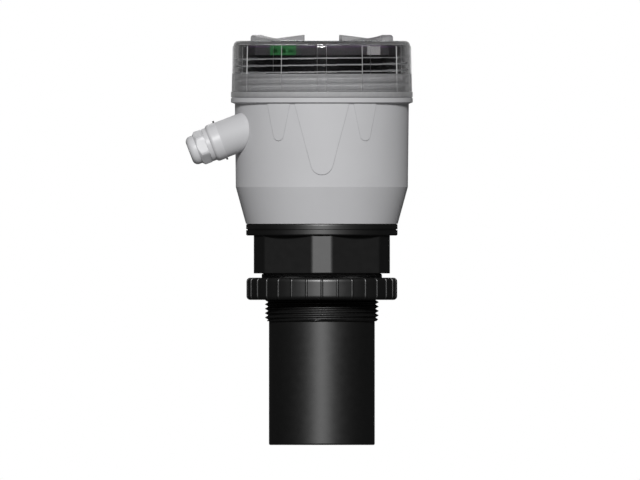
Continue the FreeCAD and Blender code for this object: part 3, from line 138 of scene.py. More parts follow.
class CoverSizes(PropertyGroup):
    """Sizes of the clear cover and of the thread that holds it"""
    bead_radius: length("Bead radius", "Bead round the rim", 47.75)
    bead_height: length("Bead height", "Height of the bead", 3.2)
    bead_edge: length("Bead edge", "Rounding of the bead", 0.5)
    low_radius: length("Lower radius", "Wall above the bead", 46.9)
    top_radius: length("Upper radius", "Wall under the top edge", 46.4)
    wall: length("Wall", "Thickness of the wall", 3.0)
    top: length("Top", "Thickness of the top plate", 2.0)
    headroom: length("Headroom", "Gap between the keys and the top plate", 0.3)
    edge: length("Edge", "Outer rounding of the top", 2.6)
    inner_edge: length("Inner edge", "Inner rounding of the top", 0.5)
    seal_radius: length("Seal recess", "Outer wall of the seal's recess", 45.7)
    seal_depth: length("Seal depth", "Depth of the seal's recess", 1.4)
    rib_count: count("Ribs", "Grip ribs round the wall", 12)
    rib_half: angle("Rib half width", "Turn from the middle of a grip rib to its edge", 2.95)
    rib_height: length("Rib height", "How far a grip rib stands out", 0.5)
    rib_run: length("Rib run-out", "Height of a rib's upper end, which leans back", 0.7)
    rib_lean: length("Rib lean", "How far that end leans back", 0.15)
    ramp_inner: length("Ramp inside", "Inner radius of the ramps", 32.9)
    ramp_outer: length("Ramp outside", "Outer radius of the ramps", 38.9)
    ramp_height: length("Ramp height", "Height of a ramp's steep end", 3.1)
    ramp_length: length("Ramp length", "Run of a ramp down to the top plate", 26.0)
    ramp_edge: length("Ramp edge", "Outer rounding of a ramp", 1.6)
    ramp_count: count("Ramps", "Saw-tooth ramps on the top plate", 4)
    ramp_angle: angle("Ramp angle", "Turn of the first steep end from +X", 15.9)
    thread_pitch: length("Thread pitch", "Rise of the thread in one turn", 3.6)
    thread_width: length("Thread width", "Foot of a thread ridge", 1.5)
    thread_crest: length("Thread crest", "Crest of a thread ridge", 0.5)
    thread_height: length("Thread height", "Ridges inside the cover", 0.9)
    thread_low: length("Thread start", "Lower end of that thread above the rim", 4.0)
    thread_high: length("Thread end", "Upper end of that thread above the rim", 21.8)
    neck_radius: length("Neck radius", "Outside of the housing's neck", 42.3)
    neck_ridge: length("Neck ridge", "Ridges on the housing's neck", 1.0)
    bead_satin: level("Bead satin", "Satin share of the bead", 0.45)
    rib_satin: level("Rib satin", "Satin share of the rib sides", 0.6)
    ramp_satin: level("Ramp satin", "Satin share of the ramps", 0.2)
    neck_satin: level("Neck satin", "Satin share of the wall round the neck", 0.2)
    ramp_window: level("Ramp clearness", "Share of the window's clearness on the ramps", 0.17)
    inner_window: level("Inner clearness", "Share of that clearness on the inner surface", 0.5)


class GlandSizes(PropertyGroup):
    """Sizes of the gland's domed nut, along the cable entry from the end of the boss, and its place"""
    flat: length("Flat", "Distance of a flat from the axis", 8.12)
    corner: length("Corner", "Distance of a softened corner from the axis", 9.16)
    hex_low: length("Hexagon start", "Start of the hexagon", 7.9)
    hex_length: length("Hexagon length", "Length of the hexagon", 5.6)
    chamfer: length("Chamfer", "Chamfer on the corners at the start", 0.5)
    slope: length("Slope", "Length of the cone from hexagon to dome", 1.4)
    dome_radius: length("Dome radius", "Outside of the domed end", 7.7)
    dome_length: length("Dome length", "Length of the domed end", 4.4)
    dome_edge: length("Dome edge", "Rounding of the domed end", 2.9)
    bore: length("Bore", "Inside of the nut", 6.2)
    bore_length: length("Bore length", "Depth of the nut's inside", 7.5)
    hole: length("Hole", "Hole for the cable", 3.9)
    turn: angle("Turn", "Turn of the first corner from the top", 6.0)
    tilt: angle("Tilt", "Droop of the cable entry", 21.0)
    reach: length("Reach", "End of the boss, left of the housing's axis", 52.9)
    offset: length("Offset", "Cable entry in front of the housing's axis", 15.2)
    drop: length("Drop", "End of the boss below the top of the lip", 22.0)


class ReliefSizes(PropertyGroup):
    """Sizes of the housing's lip and of the drip-shaped reliefs at the sides of its front"""
    lip_radius: length("Lip radius", "Outside of the lip", 47.75)
    lip_slope: length("Lip slope", "Height of the slope under the lip", 0.9)
    lip_edge: length("Lip edge", "Rounding of the lip's lower edge", 0.25)
    barrel_radius: length("Barrel radius", "Barrel under the lip", 45.7)
    barrel_draft: length("Barrel draft", "How much the barrel widens upwards", 0.5)
    barrel_height: length("Barrel height", "Height of the barrel", 44.0)
    lip_height: length("Lip height", "Height of the lip above the barrel", 2.7)
    depth: length("Depth", "How far a relief stands out", 0.5)
    half_width: length("Half width", "Half width of a relief at the top of the lip", 7.3)
    bottom_radius: length("Bottom radius", "Round end of a relief", 2.9)
    drop: length("Drop", "Length of a relief below the lip", 19.6)
    turn: angle("Turn", "Turn of a relief from the front", 30.0)
    lean: angle("Lean", "Lean of a relief's walls towards the front", 10.0)
    cover: length("Cover", "How far the skin stands over the solid relief", 0.04)


class Finishes(PropertyGroup):
    """Colours of the transmitter's materials"""
    housing: colour("Housing", "Grey housing", (0.55, 0.55, 0.563))
    black: colour("Black moulding", "Transducer body and lock nut", (0.003, 0.003, 0.003))
    rubber: colour("Rubber", "Seals and gaskets", (0.012, 0.012, 0.012))
    gasket: colour("Gasket", "Mounting gasket", (0.09, 0.09, 0.09))
    pale_rubber: colour("Pale rubber", "Seal of the cover", (0.4, 0.4, 0.41))
    gland: colour("Gland", "Pale cable gland", (0.64, 0.64, 0.655))
    cover: colour("Cover", "Smoky clear cover, in and out through its outer surface", (0.1, 0.1, 0.101))
    window: colour("Window", "Top plate of the cover, once through it", (0.7, 0.7, 0.705))
    satin: colour("Satin edges", "Thread crests and rib sides of the cover", (0.7, 0.7, 0.71))
    bezel: colour("Bezel", "Grey display bezel", (0.11, 0.103, 0.113))
    drum: colour("Drum", "Black display carrier", (0.007, 0.007, 0.0075))
    label: colour("Label", "Purple label", (0.16, 0.09, 0.2))
    keys: colour("Keys", "Push keys", (0.45, 0.45, 0.47))
    board: colour("Board", "Main circuit board", (0.01, 0.09, 0.04))
    display_board: colour("Display board", "Black board of the display", (0.012, 0.013, 0.014))
    terminal: colour("Terminal", "Green terminal block", (0.03, 0.36, 0.08))
    connector: colour("Connector", "Pale connector", (0.87, 0.86, 0.86))
    panel: colour("Display panel", "Liquid crystal panel", (0.30, 0.34, 0.26))
    component: colour("Component", "Switches and transformer", (0.03, 0.03, 0.032))
    sleeve: colour("Sleeve", "Sleeves of the capacitors", (0.02, 0.03, 0.08))
    ribbon: colour("Ribbon", "Flat cable of the display", (0.38, 0.38, 0.4))
    ceramic: colour("Ceramic", "Piezo disc", (0.55, 0.5, 0.4))
    filler: colour("Filler", "Potting and damping ring", (0.05, 0.05, 0.05))
    resin: colour("Resin", "Matching layer", (0.3, 0.3, 0.31))
    steel: colour("Steel", "Plated screws", (0.6, 0.6, 0.6))
    brass: colour("Brass", "Standoffs and leads", (0.62, 0.45, 0.18))


class StudioSizes(PropertyGroup):
    """Camera, light and floor"""
    pixels: count("Pixels", "Width of the picture in pixels", 640)
    pixel: length("Pixel", "Size of one pixel", 0.5252)
    centre_x: length("Centre", "Middle of the picture, right of the axis", -0.97)
    centre_z: length("Height", "Middle of the picture above the floor", 107.67)
    key_height: angle("Key height", "Key light above the horizon", 24)
    key_side: angle("Key side", "Key light to the left of the camera", 1)
    key_level: level("Key level", "Key light on a white surface that faces it", 0.92)
    side_level: level("Side level", "Wide soft lights behind, on both sides", 0.08)
    back_level: level("Back level", "Light from behind on matt surfaces", 0.4)
    glint_level: level("Glint level", "Soft light from behind that gloss mirrors", 0.2)
    fill_level: level("Fill level", "Light from all round", 0.045)
    card_level: level("Card level", "Dark cards that satin surfaces mirror", 0.02)
    floor: colour("Floor", "Floor under the object", (0.16, 0.16, 0.16))
    floor_glow: level("Floor glow", "How much the floor brightens to the camera", 0.85)


# Outlines and meshes

def fillet(before, corner, after, radius, steps=6):
    """Points of an arc that rounds a corner."""
    corner = Vector(corner)
    back = (Vector(before) - corner).normalized()
    ahead = (Vector(after) - corner).normalized()
    half = back.angle(ahead) / 2
    centre = corner + (back + ahead).normalized() * (radius / math.sin(half))
    reach = radius / math.tan(half)
    start = corner + back * reach - centre
    end = corner + ahead * reach - centre
    turn = start.angle_signed(end)
    points = []
    for i in range(steps + 1):
        part = turn * i / steps
        points.append(centre + Vector((start.x * math.cos(part) + start.y * math.sin(part),
                                       start.y * math.cos(part) - start.x * math.sin(part))))
    return [tuple(point) for point in points]


def rounded(points):
    """A closed outline whose points may hold a third entry, the rounding of that corner."""
    outline = []
    for i, point in enumerate(points):
        if len(point) == 2:
            outline.append(point)
        else:
            outline += fillet(points[i - 1][:2], point[:2], points[(i + 1) % len(points)][:2], point[2])
    return outline


def edged_wall(radius, low, high, edge):
    """Upright wall between two rounded edges, with a ring just past each rounding."""
    past = 1.2 * edge
    return [(radius, low, edge), (radius, low + past), (radius, high - past), (radius, high, edge)]


def rows(low, high, step):
    """Evenly spaced heights from low to high, both ends among them."""
    gaps = max(1, math.ceil((high - low) / step - NEAR))
    return [low + (high - low) * i / gaps for i in range(gaps + 1)]


def lathe(points, columns=COLUMNS):
    """A closed mesh: an outline of (radius, height) points, spun round the upright axis."""
    bm = bmesh.new()
    verts = [bm.verts.new((r, 0, z)) for r, z in points]
    edges = [bm.edges.new((verts[i - 1], verts[i])) for i in range(len(verts))]
    bmesh.ops.spin(bm, geom=verts + edges, cent=(0, 0, 0), axis=(0, 0, 1), angle=FULL_TURN, steps=columns,
                   use_merge=True)
    bmesh.ops.remove_doubles(bm, verts=bm.verts, dist=MERGE)
    on_axis = [edge for edge in bm.edges if max(v.co.xy.length for v in edge.verts) < MERGE]
    bmesh.ops.delete(bm, geom=on_axis, context="EDGES")
    bmesh.ops.recalc_face_normals(bm, faces=bm.faces)
    return bm


def polar(point):
    return math.hypot(point.x, point.y), math.atan2(point.y, point.x)


def place(vert, radius, turn):
    vert.co.x = radius * math.cos(turn)
    vert.co.y = radius * math.sin(turn)


def from_middle(turn, sector, middle):
    """Turn away from the middle of the sector that it lies in."""
    return (turn - middle + sector / 2) % sector - sector / 2


def gather_columns(bm, sector, middle, stops):
    """Move a lathe's columns, alike in every sector, so that some fall on given turns.

    stops are pairs of a turn from the sector's middle, before and after."""
    for vert in bm.verts:
        radius, turn = polar(vert.co)
        if radius < MERGE:
            continue
        offset = from_middle(turn, sector, middle)
        size = abs(offset)
        for (u0, a0), (u1, a1) in zip(stops, stops[1:]):
            if u0 <= size + NEAR and size <= u1 + NEAR:
                moved = a0 + (a1 - a0) * (size - u0) / (u1 - u0)
                place(vert, radius, turn + math.copysign(1, offset) * (moved - size))
                break


def cut_pipe_thread(vert, low, high, pitch, crest, depth):
    """Set a vertex of a plain cylinder on the pipe thread, on the thread's own corner where one is near."""
    land = 0.12
    turn = polar(vert.co)[1]
    offset = (vert.co.z / pitch - turn / FULL_TURN) % 1 - 0.5
    away = abs(offset) * 2
    for corner in (land, 1 - land):
        if abs(away - corner) <= 1 / THREAD_ROWS and low + NEAR < vert.co.z < high - NEAR:
            vert.co.z += math.copysign(1, offset) * (corner - away) * pitch / 2
            away = corner
    drop = min(max((away - land) / (1 - 2 * land), 0), 1)
    place(vert, crest - depth * drop, turn)


def thread_start(cover):
    """Height of the cover's uppermost ridge at +X."""
    return COVER_LOW + cover.thread_high - RIDGE_DROP


def ridge_rise(z, turn, start, cover):
    """1 on the crest of a ridge of the cover's thread and 0 beside it; start is its height at +X."""
    pitch = cover.thread_pitch
    away = abs(((z - start) / pitch - turn / FULL_TURN + 0.5) % 1 - 0.5) * pitch
    foot, crest = cover.thread_width / 2, cover.thread_crest / 2
    return min(max((foot - away) / (foot - crest), 0), 1)


def fade(value, low, high, run):
    """1 between low and high, falling to 0 over run at both ends."""
    return min(max(min(value - low, high - value) / run, 0), 1)


def finish_piece(bm, name, material, body, slot, *nodes, sharp=35):
    """Make the object, tie it to its body and its finish, and hide the nodes that it stands for."""
    bmesh.ops.recalc_face_normals(bm, faces=bm.faces)
    mesh = bpy.data.meshes.new(name)
    bm.to_mesh(mesh)
    bm.free()
    mesh.materials.append(material)
    mesh.shade_smooth()
    mesh.set_sharp_from_angle(angle=math.radians(sharp))
    piece = bpy.data.objects.new(name, mesh)
    bpy.context.scene.collection.objects.link(piece)
    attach(piece, body)
    if nodes:
        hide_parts(*nodes)


# Materials

def new_material(name):
    material = bpy.data.materials.new(name)
    material.use_nodes = True
    return material, material.node_tree, material.node_tree.nodes["Principled BSDF"]


def feed(tree, node, inputs):
    """Set each input of a node to a value, or link it to another node's output."""
    for name, source in inputs.items():
        if isinstance(source, bpy.types.NodeSocket):
            tree.links.new(source, node.inputs[name])
        else:
            node.inputs[name].default_value = source


def add_node(tree, kind, inputs, **settings):
    node = tree.nodes.new("ShaderNode" + kind)
    for name, value in settings.items():
        setattr(node, name, value)
    feed(tree, node, inputs)
    return node.outputs


def calculate(tree, operation, first, second):
    return add_node(tree, "Math", {0: first, 1: second}, operation=operation, use_clamp=True)["Value"]


def blend(tree, factor, first, second):
    """A colour between two others."""
    return add_node(tree, "Mix", {"Factor": factor, "A": first, "B": second}, data_type="RGBA")["Result"]


def blend_shaders(tree, factor, first, second):
    return add_node(tree, "MixShader", {0: factor, 1: first, 2: second})["Shader"]


def noise(tree, scale, detail):
    """Noise in the piece's own space, scale to the metre."""
    own_space = add_node(tree, "TexCoord", {})["Object"]
    return add_node(tree, "TexNoise", {"Vector": own_space, "Scale": scale, "Detail": detail})["Fac"]


def spread(tree, source, low, high):
    """Bring noise, mostly between 0.3 and 0.7, to a range of values."""
    inputs = {"Value": source, "From Min": 0.3, "From Max": 0.7, "To Min": low, "To Max": high}
    return add_node(tree, "MapRange", inputs)["Result"]


def mottle(tree, tint, amount, scale):
    """A colour with faint unevenness."""
    dark = [max(c * (1 - amount), 0) for c in tint]
    pale = [min(c * (1 + amount), 1) for c in tint]
    return blend(tree, spread(tree, noise(tree, scale, 3), 0, 1), (*dark, 1), (*pale, 1))


def grain(tree, scale, strength):
    """Normals with the fine relief of a moulded or cast surface."""
    inputs = {"Height": noise(tree, scale, 4), "Strength": strength, "Distance": 0.05 * MM}
    return add_node(tree, "Bump", inputs)["Normal"]


def painted_corner_shade(tree, shade, tint, reach):
    """The colour, darkened in inner corners as far as reach from them: painted shade, found by ambient
    occlusion.
    """
    # Painted shade: ambient occlusion darkens the colour towards half its tint in inner corners.
    corner = add_node(tree, "AmbientOcclusion", {"Distance": reach}, samples=8, only_local=True)["AO"]
    openness = add_node(tree, "MapRange", {"Value": corner, "From Min": 0.45, "From Max": 0.85})["Result"]
    dark = [c / 2 for c in tint]
    return blend(tree, openness, (*dark, 1), shade)


def moulded(name, tint, roughness, specular=0.5, texture=1600, relief=0.12, unevenness=0.04, chalk=0.0,
            index=1.5, crease=0.0):
    """Moulded plastic or rubber: faint mottle, uneven gloss and a fine grain, and painted shade in inner
    corners where a reach for it is given.
    """
    material, tree, shader = new_material(name)
    gloss_range = 0.015
    gloss = noise(tree, scale=260, detail=2)
    shade = mottle(tree, tint, unevenness, scale=45)
    # Painted shade darkens the colour in inner corners when a reach for it is given.
    if crease:
        shade = painted_corner_shade(tree, shade, tint, crease)
    feed(tree, shader, {
        "Base Color": shade,
        "Roughness": spread(tree, gloss, roughness - gloss_range, roughness + gloss_range),
        "Normal": grain(tree, texture, relief),
        "IOR": index,
        "Specular IOR Level": specular,
        "Diffuse Roughness": chalk,
    })
    return material


def clear_plastic(name, tint, roughness):
    """Smoky clear moulding with clearer faces and satin edges, which lets lamps light what is under it."""
    material, tree, shader = new_material(name)
    clearness = add_node(tree, "Attribute", {}, attribute_name="window")["Fac"]
    satin_share = add_node(tree, "Attribute", {}, attribute_name="satin")["Fac"]
    tints = bpy.context.scene.transmitter_finishes
    smoke = mottle(tree, tint, amount=0.03, scale=30)
    feed(tree, shader, {
        "Base Color": blend(tree, clearness, smoke, (*tints.window, 1)),
        "Transmission Weight": 1.0,
        "IOR": 1.06,
        "Roughness": roughness,
        "Coat Weight": 0.2,
        "Coat Roughness": 0.1,
    })
    frosting = mottle(tree, tints.satin, amount=0.05, scale=300)
    ground = add_node(tree, "BsdfPrincipled", {"Base Color": frosting, "Roughness": 0.6})["BSDF"]
    surface = blend_shaders(tree, satin_share, shader.outputs["BSDF"], ground)
    in_shadow = add_node(tree, "LightPath", {})["Is Shadow Ray"]
    through = add_node(tree, "BsdfTransparent", {})["BSDF"]
    feed(tree, tree.nodes["Material Output"], {"Surface": blend_shaders(tree, in_shadow, surface, through)})
    return material


def plated(name, tint, roughness):
    """Plated or turned metal with fine marks."""
    material, tree, shader = new_material(name)
    gloss_range = 0.08
    gloss = noise(tree, scale=900, detail=4)
    feed(tree, shader, {
        "Base Color": mottle(tree, tint, amount=0.08, scale=200),
        "Metallic": 1.0,
        "Roughness": spread(tree, gloss, roughness - gloss_range, roughness + gloss_range),
        "Normal": grain(tree, scale=2500, strength=0.1),
    })
    return material


# Materials: their maker, colour in Finishes, roughness and further looks, and the solids that get them
MATERIALS = {
    # grey_moulding and pale_moulding darken their inner corners with painted shade, as far as the given
    # reach.
    "grey_moulding": (moulded, "housing", 0.55, {
        "specular": 0.2, "relief": 0.06, "unevenness": 0.015, "chalk": 0.12, "crease": 0.9 * MM}, [
        "housing"]),
    "black_moulding": (moulded, "black", 0.43, {"specular": 0.9, "relief": 0.06, "index": 1.6}, []),
    "black_rubber_seal": (moulded, "rubber", 0.5, {"texture": 900, "relief": 0.15}, [
        "flange_seal", "gland_gasket", "gland_seal"]),
    "gasket_rubber": (moulded, "gasket", 0.5, {"texture": 900, "relief": 0.15}, ["mounting_gasket"]),
    "pale_rubber_seal": (moulded, "pale_rubber", 0.55, {"specular": 0.4, "texture": 900, "relief": 0.1}, [
        "cover_seal"]),
    "pale_moulding": (moulded, "gland", 0.4, {"relief": 0.06, "crease": 0.7 * MM}, ["gland_body"]),
    "nut_moulding": (moulded, "gland", 0.4, {"relief": 0.06}, []),
    "clear_moulding": (clear_plastic, "cover", 0.0, {}, []),
    "bezel_moulding": (moulded, "bezel", 0.5, {"specular": 0.3}, ["display_bezel"]),
    "drum_moulding": (moulded, "drum", 0.5, {"specular": 0.3}, ["display_carrier"]),
    "black_lacquer": (moulded, "display_board", 0.5, {
        "specular": 0.3, "texture": 700, "unevenness": 0.2}, ["display_board"]),
    "purple_sheet": (moulded, "label", 0.5, {"texture": 2500, "relief": 0.05}, ["face_label"]),
    "key_moulding": (moulded, "keys", 0.5, {}, ["key_1", "key_2", "key_3", "key_4"]),
    "board_lacquer": (moulded, "board", 0.35, {"texture": 700, "unevenness": 0.25}, ["main_board"]),
    "green_moulding": (moulded, "terminal", 0.4, {}, ["terminal_block"]),
    "connector_moulding": (moulded, "connector", 0.45, {}, ["connector"]),
    "panel_glass": (moulded, "panel", 0.15, {"relief": 0.02}, ["lcd_panel"]),
    "component_moulding": (moulded, "component", 0.5, {}, ["key_switches", "pulse_transformer"]),
    "capacitor_sleeve_film": (moulded, "sleeve", 0.25, {"relief": 0.03}, ["capacitors"]),
    "ribbon_film": (moulded, "ribbon", 0.45, {}, ["display_ribbon"]),
    "ceramic": (moulded, "ceramic", 0.5, {"specular": 0.4, "texture": 800, "relief": 0.2}, ["piezo_disc"]),
    "filler": (moulded, "filler", 0.6, {"specular": 0.4, "texture": 500, "relief": 0.25}, [
        "damping_ring", "potting"]),
    "matching_resin": (moulded, "resin", 0.55, {"specular": 0.4, "texture": 600, "relief": 0.25}, [
        "matching_layer"]),
    "plated_steel": (plated, "steel", 0.32, {}, ["flange_screws", "board_screws", "terminal_screws"]),
    "turned_brass": (plated, "brass", 0.3, {}, ["standoffs", "transducer_leads"]),
}


def finish(name):
    """The named material, made when it is first asked for."""
    if name in bpy.data.materials:
        return bpy.data.materials[name]
    make, tint, roughness, looks, _ = MATERIALS[name]
    return make(name, getattr(bpy.context.scene.transmitter_finishes, tint), roughness, **looks)


# Pieces

class TRANSMITTER_OT_node_finishes(Operator):
    """Give the solid pieces that stay as they are their materials"""
    bl_idname = "transmitter.node_finishes"
    bl_label = "Solid pieces"

    def execute(self, context):
        for name, (*_, nodes) in MATERIALS.items():
            for node in nodes:
                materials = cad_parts[node].data.materials
                materials.clear()
                materials.append(finish(name))
        return {"FINISHED"}


class TRANSMITTER_OT_transducer_body(Operator):
    """Model the sensor tube, pipe thread, hexagon and flange as one moulding"""
    bl_idname = "transmitter.transducer_body"
    bl_label = "Transducer body"
    sector = FULL_TURN / 6
    # Columns from the middle of a corner's small flat to its edge
    flat_columns = 5
    # Least angle between the faces of an edge that is softened
    least_bend = 0.2

    def outline(self, size):
        hex_top = THREAD_TOP + size.hex_height
        past_edge = 2 * size.hex_edge
        hexagon = (THREAD_TOP, THREAD_TOP + past_edge, hex_top - past_edge, hex_top)
        thread = rows(size.tube_height, THREAD_TOP, size.thread_pitch / THREAD_ROWS)
        tube = edged_wall(size.tube_radius, 0, size.tube_height, size.tube_edge)
        rim, root = size.flange_radius, size.flange_radius - size.groove_depth
        flange = edged_wall(rim, hex_top, HOUSING_LOW, size.flange_edge)
        middle = (hex_top + HOUSING_LOW) / 2
        groove_low, groove_high = middle - size.groove_width / 2, middle + size.groove_width / 2
        seal_low = HOUSING_LOW - size.seal_depth
        return rounded([
            (0, 0), *tube[:2], (size.tube_radius, size.tube_height),
            *[(size.thread_radius, z) for z in thread], *[(size.hex_corner, z) for z in hexagon],
            *flange[:2], (rim, groove_low), (root, groove_low), (root, groove_high), (rim, groove_high),
            *flange[2:], (size.seal_outer, HOUSING_LOW), (size.seal_outer, seal_low),
            (size.seal_inner, seal_low), (size.seal_inner, HOUSING_LOW), (size.bore_radius, HOUSING_LOW),
            (size.bore_radius, size.face_thickness), (0, size.face_thickness)])

    def cut_thread(self, bm, size):
        for vert in bm.verts:
            if abs(polar(vert.co)[0] - size.thread_radius) > NEAR:
                continue
            cut_pipe_thread(vert, size.tube_height, THREAD_TOP, size.thread_pitch, size.thread_radius,
                            size.thread_depth)
            radius, turn = polar(vert.co)
            lead = size.thread_radius - size.thread_lead + vert.co.z - size.tube_height
            place(vert, min(radius, lead), turn)

    def cut_hexagon(self, bm, size):
        for vert in bm.verts:
            radius, turn = polar(vert.co)
            if abs(radius - size.hex_corner) > NEAR:
                continue
            flat = size.hex_flat / math.cos(from_middle(turn, self.sector, 0))
            corner = size.hex_corner / math.cos(from_middle(turn, self.sector, self.sector / 2))
            place(vert, min(flat, corner), turn)

    def soften_hexagon(self, bm, size):
        hex_top = THREAD_TOP + size.hex_height
        sharp = []
        for edge in bm.edges:
            if min(polar(v.co)[0] for v in edge.verts) < size.hex_flat - MARGIN or len(edge.link_faces) != 2:
                continue
            lowest, highest = sorted(v.co.z for v in edge.verts)
            on_hexagon = abs(lowest - THREAD_TOP) < NEAR and highest < hex_top + NEAR
            if on_hexagon and edge.calc_face_angle() > self.least_bend:
                sharp.append(edge)
        bmesh.ops.bevel(bm, geom=sharp, offset=size.hex_edge, affect="EDGES", segments=2, profile=0.5,
                        material=-1)

    def corner_turn(self, size):
        """Turn from the middle of a corner's small flat to its edge."""
        half = self.sector / 2
        width = (size.hex_flat - size.hex_corner * math.cos(half)) / math.sin(half)
        return math.atan2(width, size.hex_corner)

    def execute(self, context):
        size = context.scene.transmitter_transducer
        bm = lathe(self.outline(size))
        half = self.sector / 2
        flat_edge = self.flat_columns * FULL_TURN / COLUMNS
        gather_columns(bm, self.sector, half, [(0, 0), (flat_edge, self.corner_turn(size)), (half, half)])
        self.cut_thread(bm, size)
        self.cut_hexagon(bm, size)
        self.soften_hexagon(bm, size)
        finish_piece(bm, "transducer_moulding", finish("black_moulding"), "base", "black_plastic",
                     "transducer_body")
        return {"FINISHED"}


class TRANSMITTER_OT_lock_nut(Operator):
    """Model the ribbed lock nut with its thread"""
    bl_idname = "transmitter.lock_nut"
    bl_label = "Lock nut"
    # Columns from one rib to the next, and where those of half a rib stand, as shares of its width
    columns = 12
    shares = (0, 0.4, 0.75, 0.94, 1)

    def execute(self, context):
        size = context.scene.transmitter_nut
        thread = context.scene.transmitter_transducer
        bore = thread.thread_radius + size.clearance
        inside = [(bore, z) for z in rows(NUT_LOW, NUT_HIGH, thread.thread_pitch / THREAD_ROWS)]
        outline = rounded([*reversed(inside), *edged_wall(size.radius, NUT_LOW, NUT_HIGH, size.edge)])
        bm = lathe(outline, size.rib_count * self.columns)
        sector = FULL_TURN / size.rib_count
        foot = size.rib_width / 2 / size.radius
        facing = -FULL_TURN / 4
        stops = [(i * sector / self.columns, share * foot) for i, share in enumerate(self.shares)]
        gather_columns(bm, sector, facing, [*stops, (sector / 2, sector / 2)])
        for vert in bm.verts:
            radius, turn = polar(vert.co)
            if abs(radius - bore) < NEAR:
                cut_pipe_thread(vert, NUT_LOW, NUT_HIGH, thread.thread_pitch, bore, thread.thread_depth)
                continue
            share = abs(from_middle(turn, sector, facing)) / foot
            rise = math.sqrt(max(1 - share ** 2, 0))
            place(vert, radius + size.rib_height * rise, turn)
        finish_piece(bm, "ribbed_nut", finish("black_moulding"), "nut", "black_plastic", "lock_nut")
        return {"FINISHED"}


class TRANSMITTER_OT_gland_nut(Operator):
    """Model the gland's hexagon nut, whose corners lead over a cone to its domed end"""
    bl_idname = "transmitter.gland_nut"
    bl_label = "Gland nut"
    sector = FULL_TURN / 6
    columns = 120
    cone_steps = 6

    def outline(self, size):
        high = size.hex_low + size.hex_length
        end = high + size.dome_length
        inner_end = size.hex_low + size.bore_length
        shares = [i / self.cone_steps for i in range(self.cone_steps + 1)]
        cone = [(size.corner + (size.dome_radius - size.corner) * share, high - size.slope * (1 - share))
                for share in shares]
        return rounded([
            (size.bore, size.hex_low), (size.corner - size.chamfer, size.hex_low),
            (size.corner, size.hex_low + size.chamfer), *cone, (size.dome_radius, end, size.dome_edge),
            (size.hole, end), (size.hole, inner_end), (size.bore, inner_end)])

    def execute(self, context):
        size = context.scene.transmitter_gland
        bm = lathe(self.outline(size), self.columns)
        for vert in bm.verts:
            radius, turn = polar(vert.co)
            flat = size.flat / math.cos(from_middle(turn, self.sector, size.turn + self.sector / 2))
            place(vert, min(radius, flat), turn)
        boss_end = Matrix.Translation((-size.reach, -size.offset, LIP_TOP - size.drop))
        outwards = Matrix.Rotation(-size.tilt - FULL_TURN / 4, 4, "Y")
        bmesh.ops.transform(bm, matrix=boss_end @ outwards, verts=bm.verts)
        finish_piece(bm, "domed_nut", finish("nut_moulding"), "gland_cap", "pale_plastic", "gland_nut")
        return {"FINISHED"}


class TRANSMITTER_OT_lip(Operator):
    """Model the skin of the housing's lip, with the flat slope under it"""
    bl_idname = "transmitter.lip"
    bl_label = "Lip"
    # How deep the skin reaches into the housing, and its gap and width at the top
    sunk = 0.3 * MM
    top_gap = 0.1 * MM
    top_width = 0.5 * MM

    def execute(self, context):
        size = context.scene.transmitter_reliefs
        lip_low = LIP_TOP - size.lip_height
        slope_low, slope_high = lip_low - size.lip_slope / 2, lip_low + size.lip_slope / 2
        high = LIP_TOP - self.top_gap
        inside, rim = size.barrel_radius - self.sunk, size.lip_radius
        edge = edged_wall(rim, slope_high, high, size.lip_edge)[:2]
        bm = lathe(rounded([
            (inside, slope_low), *edge, (rim, high), (rim - self.top_width, high), (inside, slope_high)]))
        finish_piece(bm, "lip", finish("grey_moulding"), "base", "housing_grey")
        return {"FINISHED"}


